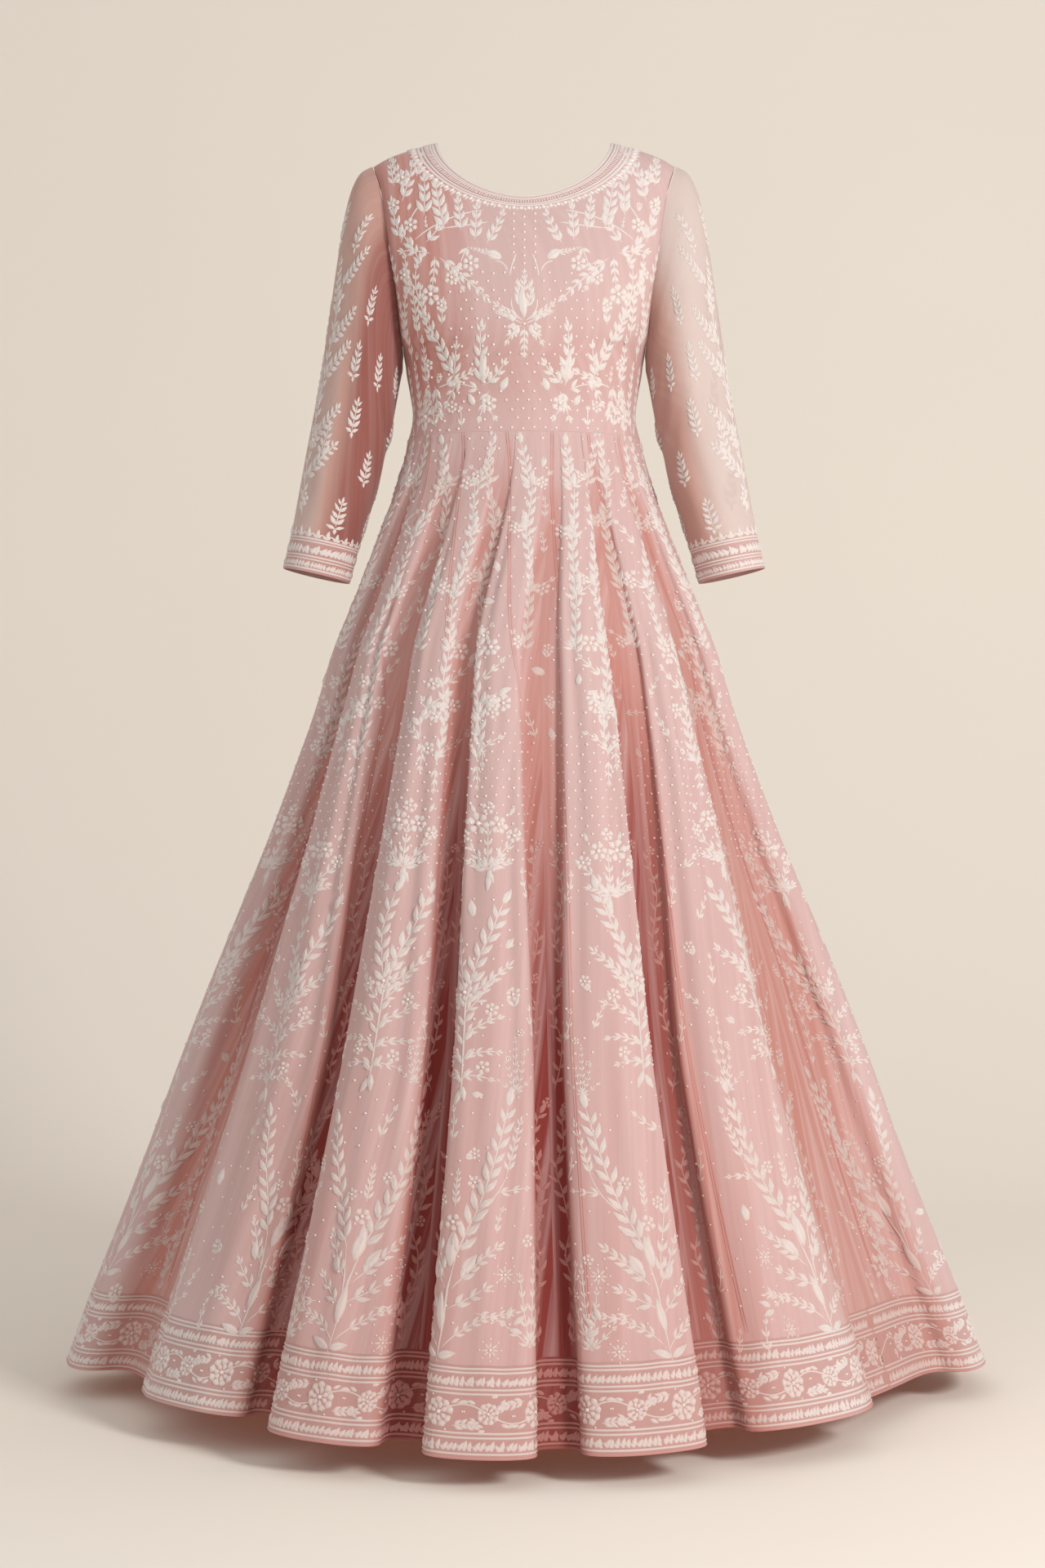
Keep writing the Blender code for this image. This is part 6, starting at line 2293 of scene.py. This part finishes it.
def backdrop():
    """A sheet that runs along the floor, turns up a quarter circle and goes on as a wall."""
    bend, radius = STAGE["bend"], STAGE["radius"]
    turn = np.linspace(0.0, np.pi / 2, 24)
    y = np.concatenate([[STAGE["front"]], bend + radius * np.sin(turn), [bend + radius]])
    z = np.concatenate([[0.0], radius * (1 - np.cos(turn)), [STAGE["top"]]]) + FLOOR_Z
    x = np.linspace(-STAGE["half"], STAGE["half"], 9)
    grid = np.stack(np.broadcast_arrays(x[None, :], y[:, None], z[:, None]), axis=-1)
    faces = grid_faces(len(y), len(x), False)[:, ::-1]
    obj = new_mesh("backdrop", grid.reshape(-1, 3), faces)
    made, tree, shader = new_material("painted_paper")
    coordinates = add_node(tree, "TexCoord", {}).outputs["Object"]
    mottled = mixed_colour(tree, noise(tree, coordinates, 2.2, 4.0), BACKDROP,
                           tuple(0.975 * c for c in BACKDROP))
    fill(tree, shader, {"Base Color": mottled, "Roughness": 0.9, "Specular IOR Level": 0.1})
    obj.data.materials.append(made)
    return obj


backdrop()
print("floor at z:", FLOOR_Z)

# %% Lights
# where it stands, what it faces, size, power in watts, colour
LIGHTS = {
    "key": ((2.25, -2.75, 0.6), (0.05, 0.0, -0.85), 1.0, 79.0, (1.0, 0.965, 0.93)),
    "fill": ((-2.6, -2.6, 0.4), (0.0, 0.0, -0.8), 2.2, 7.0, (1.0, 0.965, 0.94)),
    "glow": ((0.0, 0.0, -1.05), (0.0, 0.0, -1.5), 0.5, 0.4, (1.0, 0.4, 0.26)),
}
# the even light from all round
SKY = {"Color": (1.0, 0.96, 0.915), "Strength": 0.53}


def aimed(place, target):
    """The turn that points a lamp's -Z from place to target."""
    return (Vector(target) - Vector(place)).to_track_quat("-Z", "Y").to_euler()


def stand(name, data, place, turn):
    """An object that holds a lamp or a camera, at its place in the scene."""
    holder = bpy.data.objects.new(name, data)
    holder.location = place
    holder.rotation_euler = turn
    bpy.context.scene.collection.objects.link(holder)
    return holder


for name, (place, target, size, power, colour) in LIGHTS.items():
    lamp = bpy.data.lights.new(name, "AREA")
    lamp.shape = "DISK"
    lamp.size = size
    lamp.energy = power
    lamp.color = colour
    stand(name, lamp, place, aimed(place, target))

world = bpy.data.worlds.new("soft_room")
world.use_nodes = True
fill(world.node_tree, world.node_tree.nodes["Background"], SKY)
bpy.context.scene.world = world
bpy.context.scene.view_settings.view_transform = "Standard"
print("lights:", list(LIGHTS))

# %% Camera
CAMERA_PLACE = (-0.002, -3.43, -0.767)
# millimetres
LENS = 65.6
SENSOR = 36.0
camera = bpy.data.cameras.new("camera")
camera.lens = LENS
camera.sensor_width = SENSOR
bpy.context.scene.camera = stand("camera", camera, CAMERA_PLACE, (math.pi / 2, 0.0, 0.0))
print("camera at:", CAMERA_PLACE, "lens:", LENS, "mm")
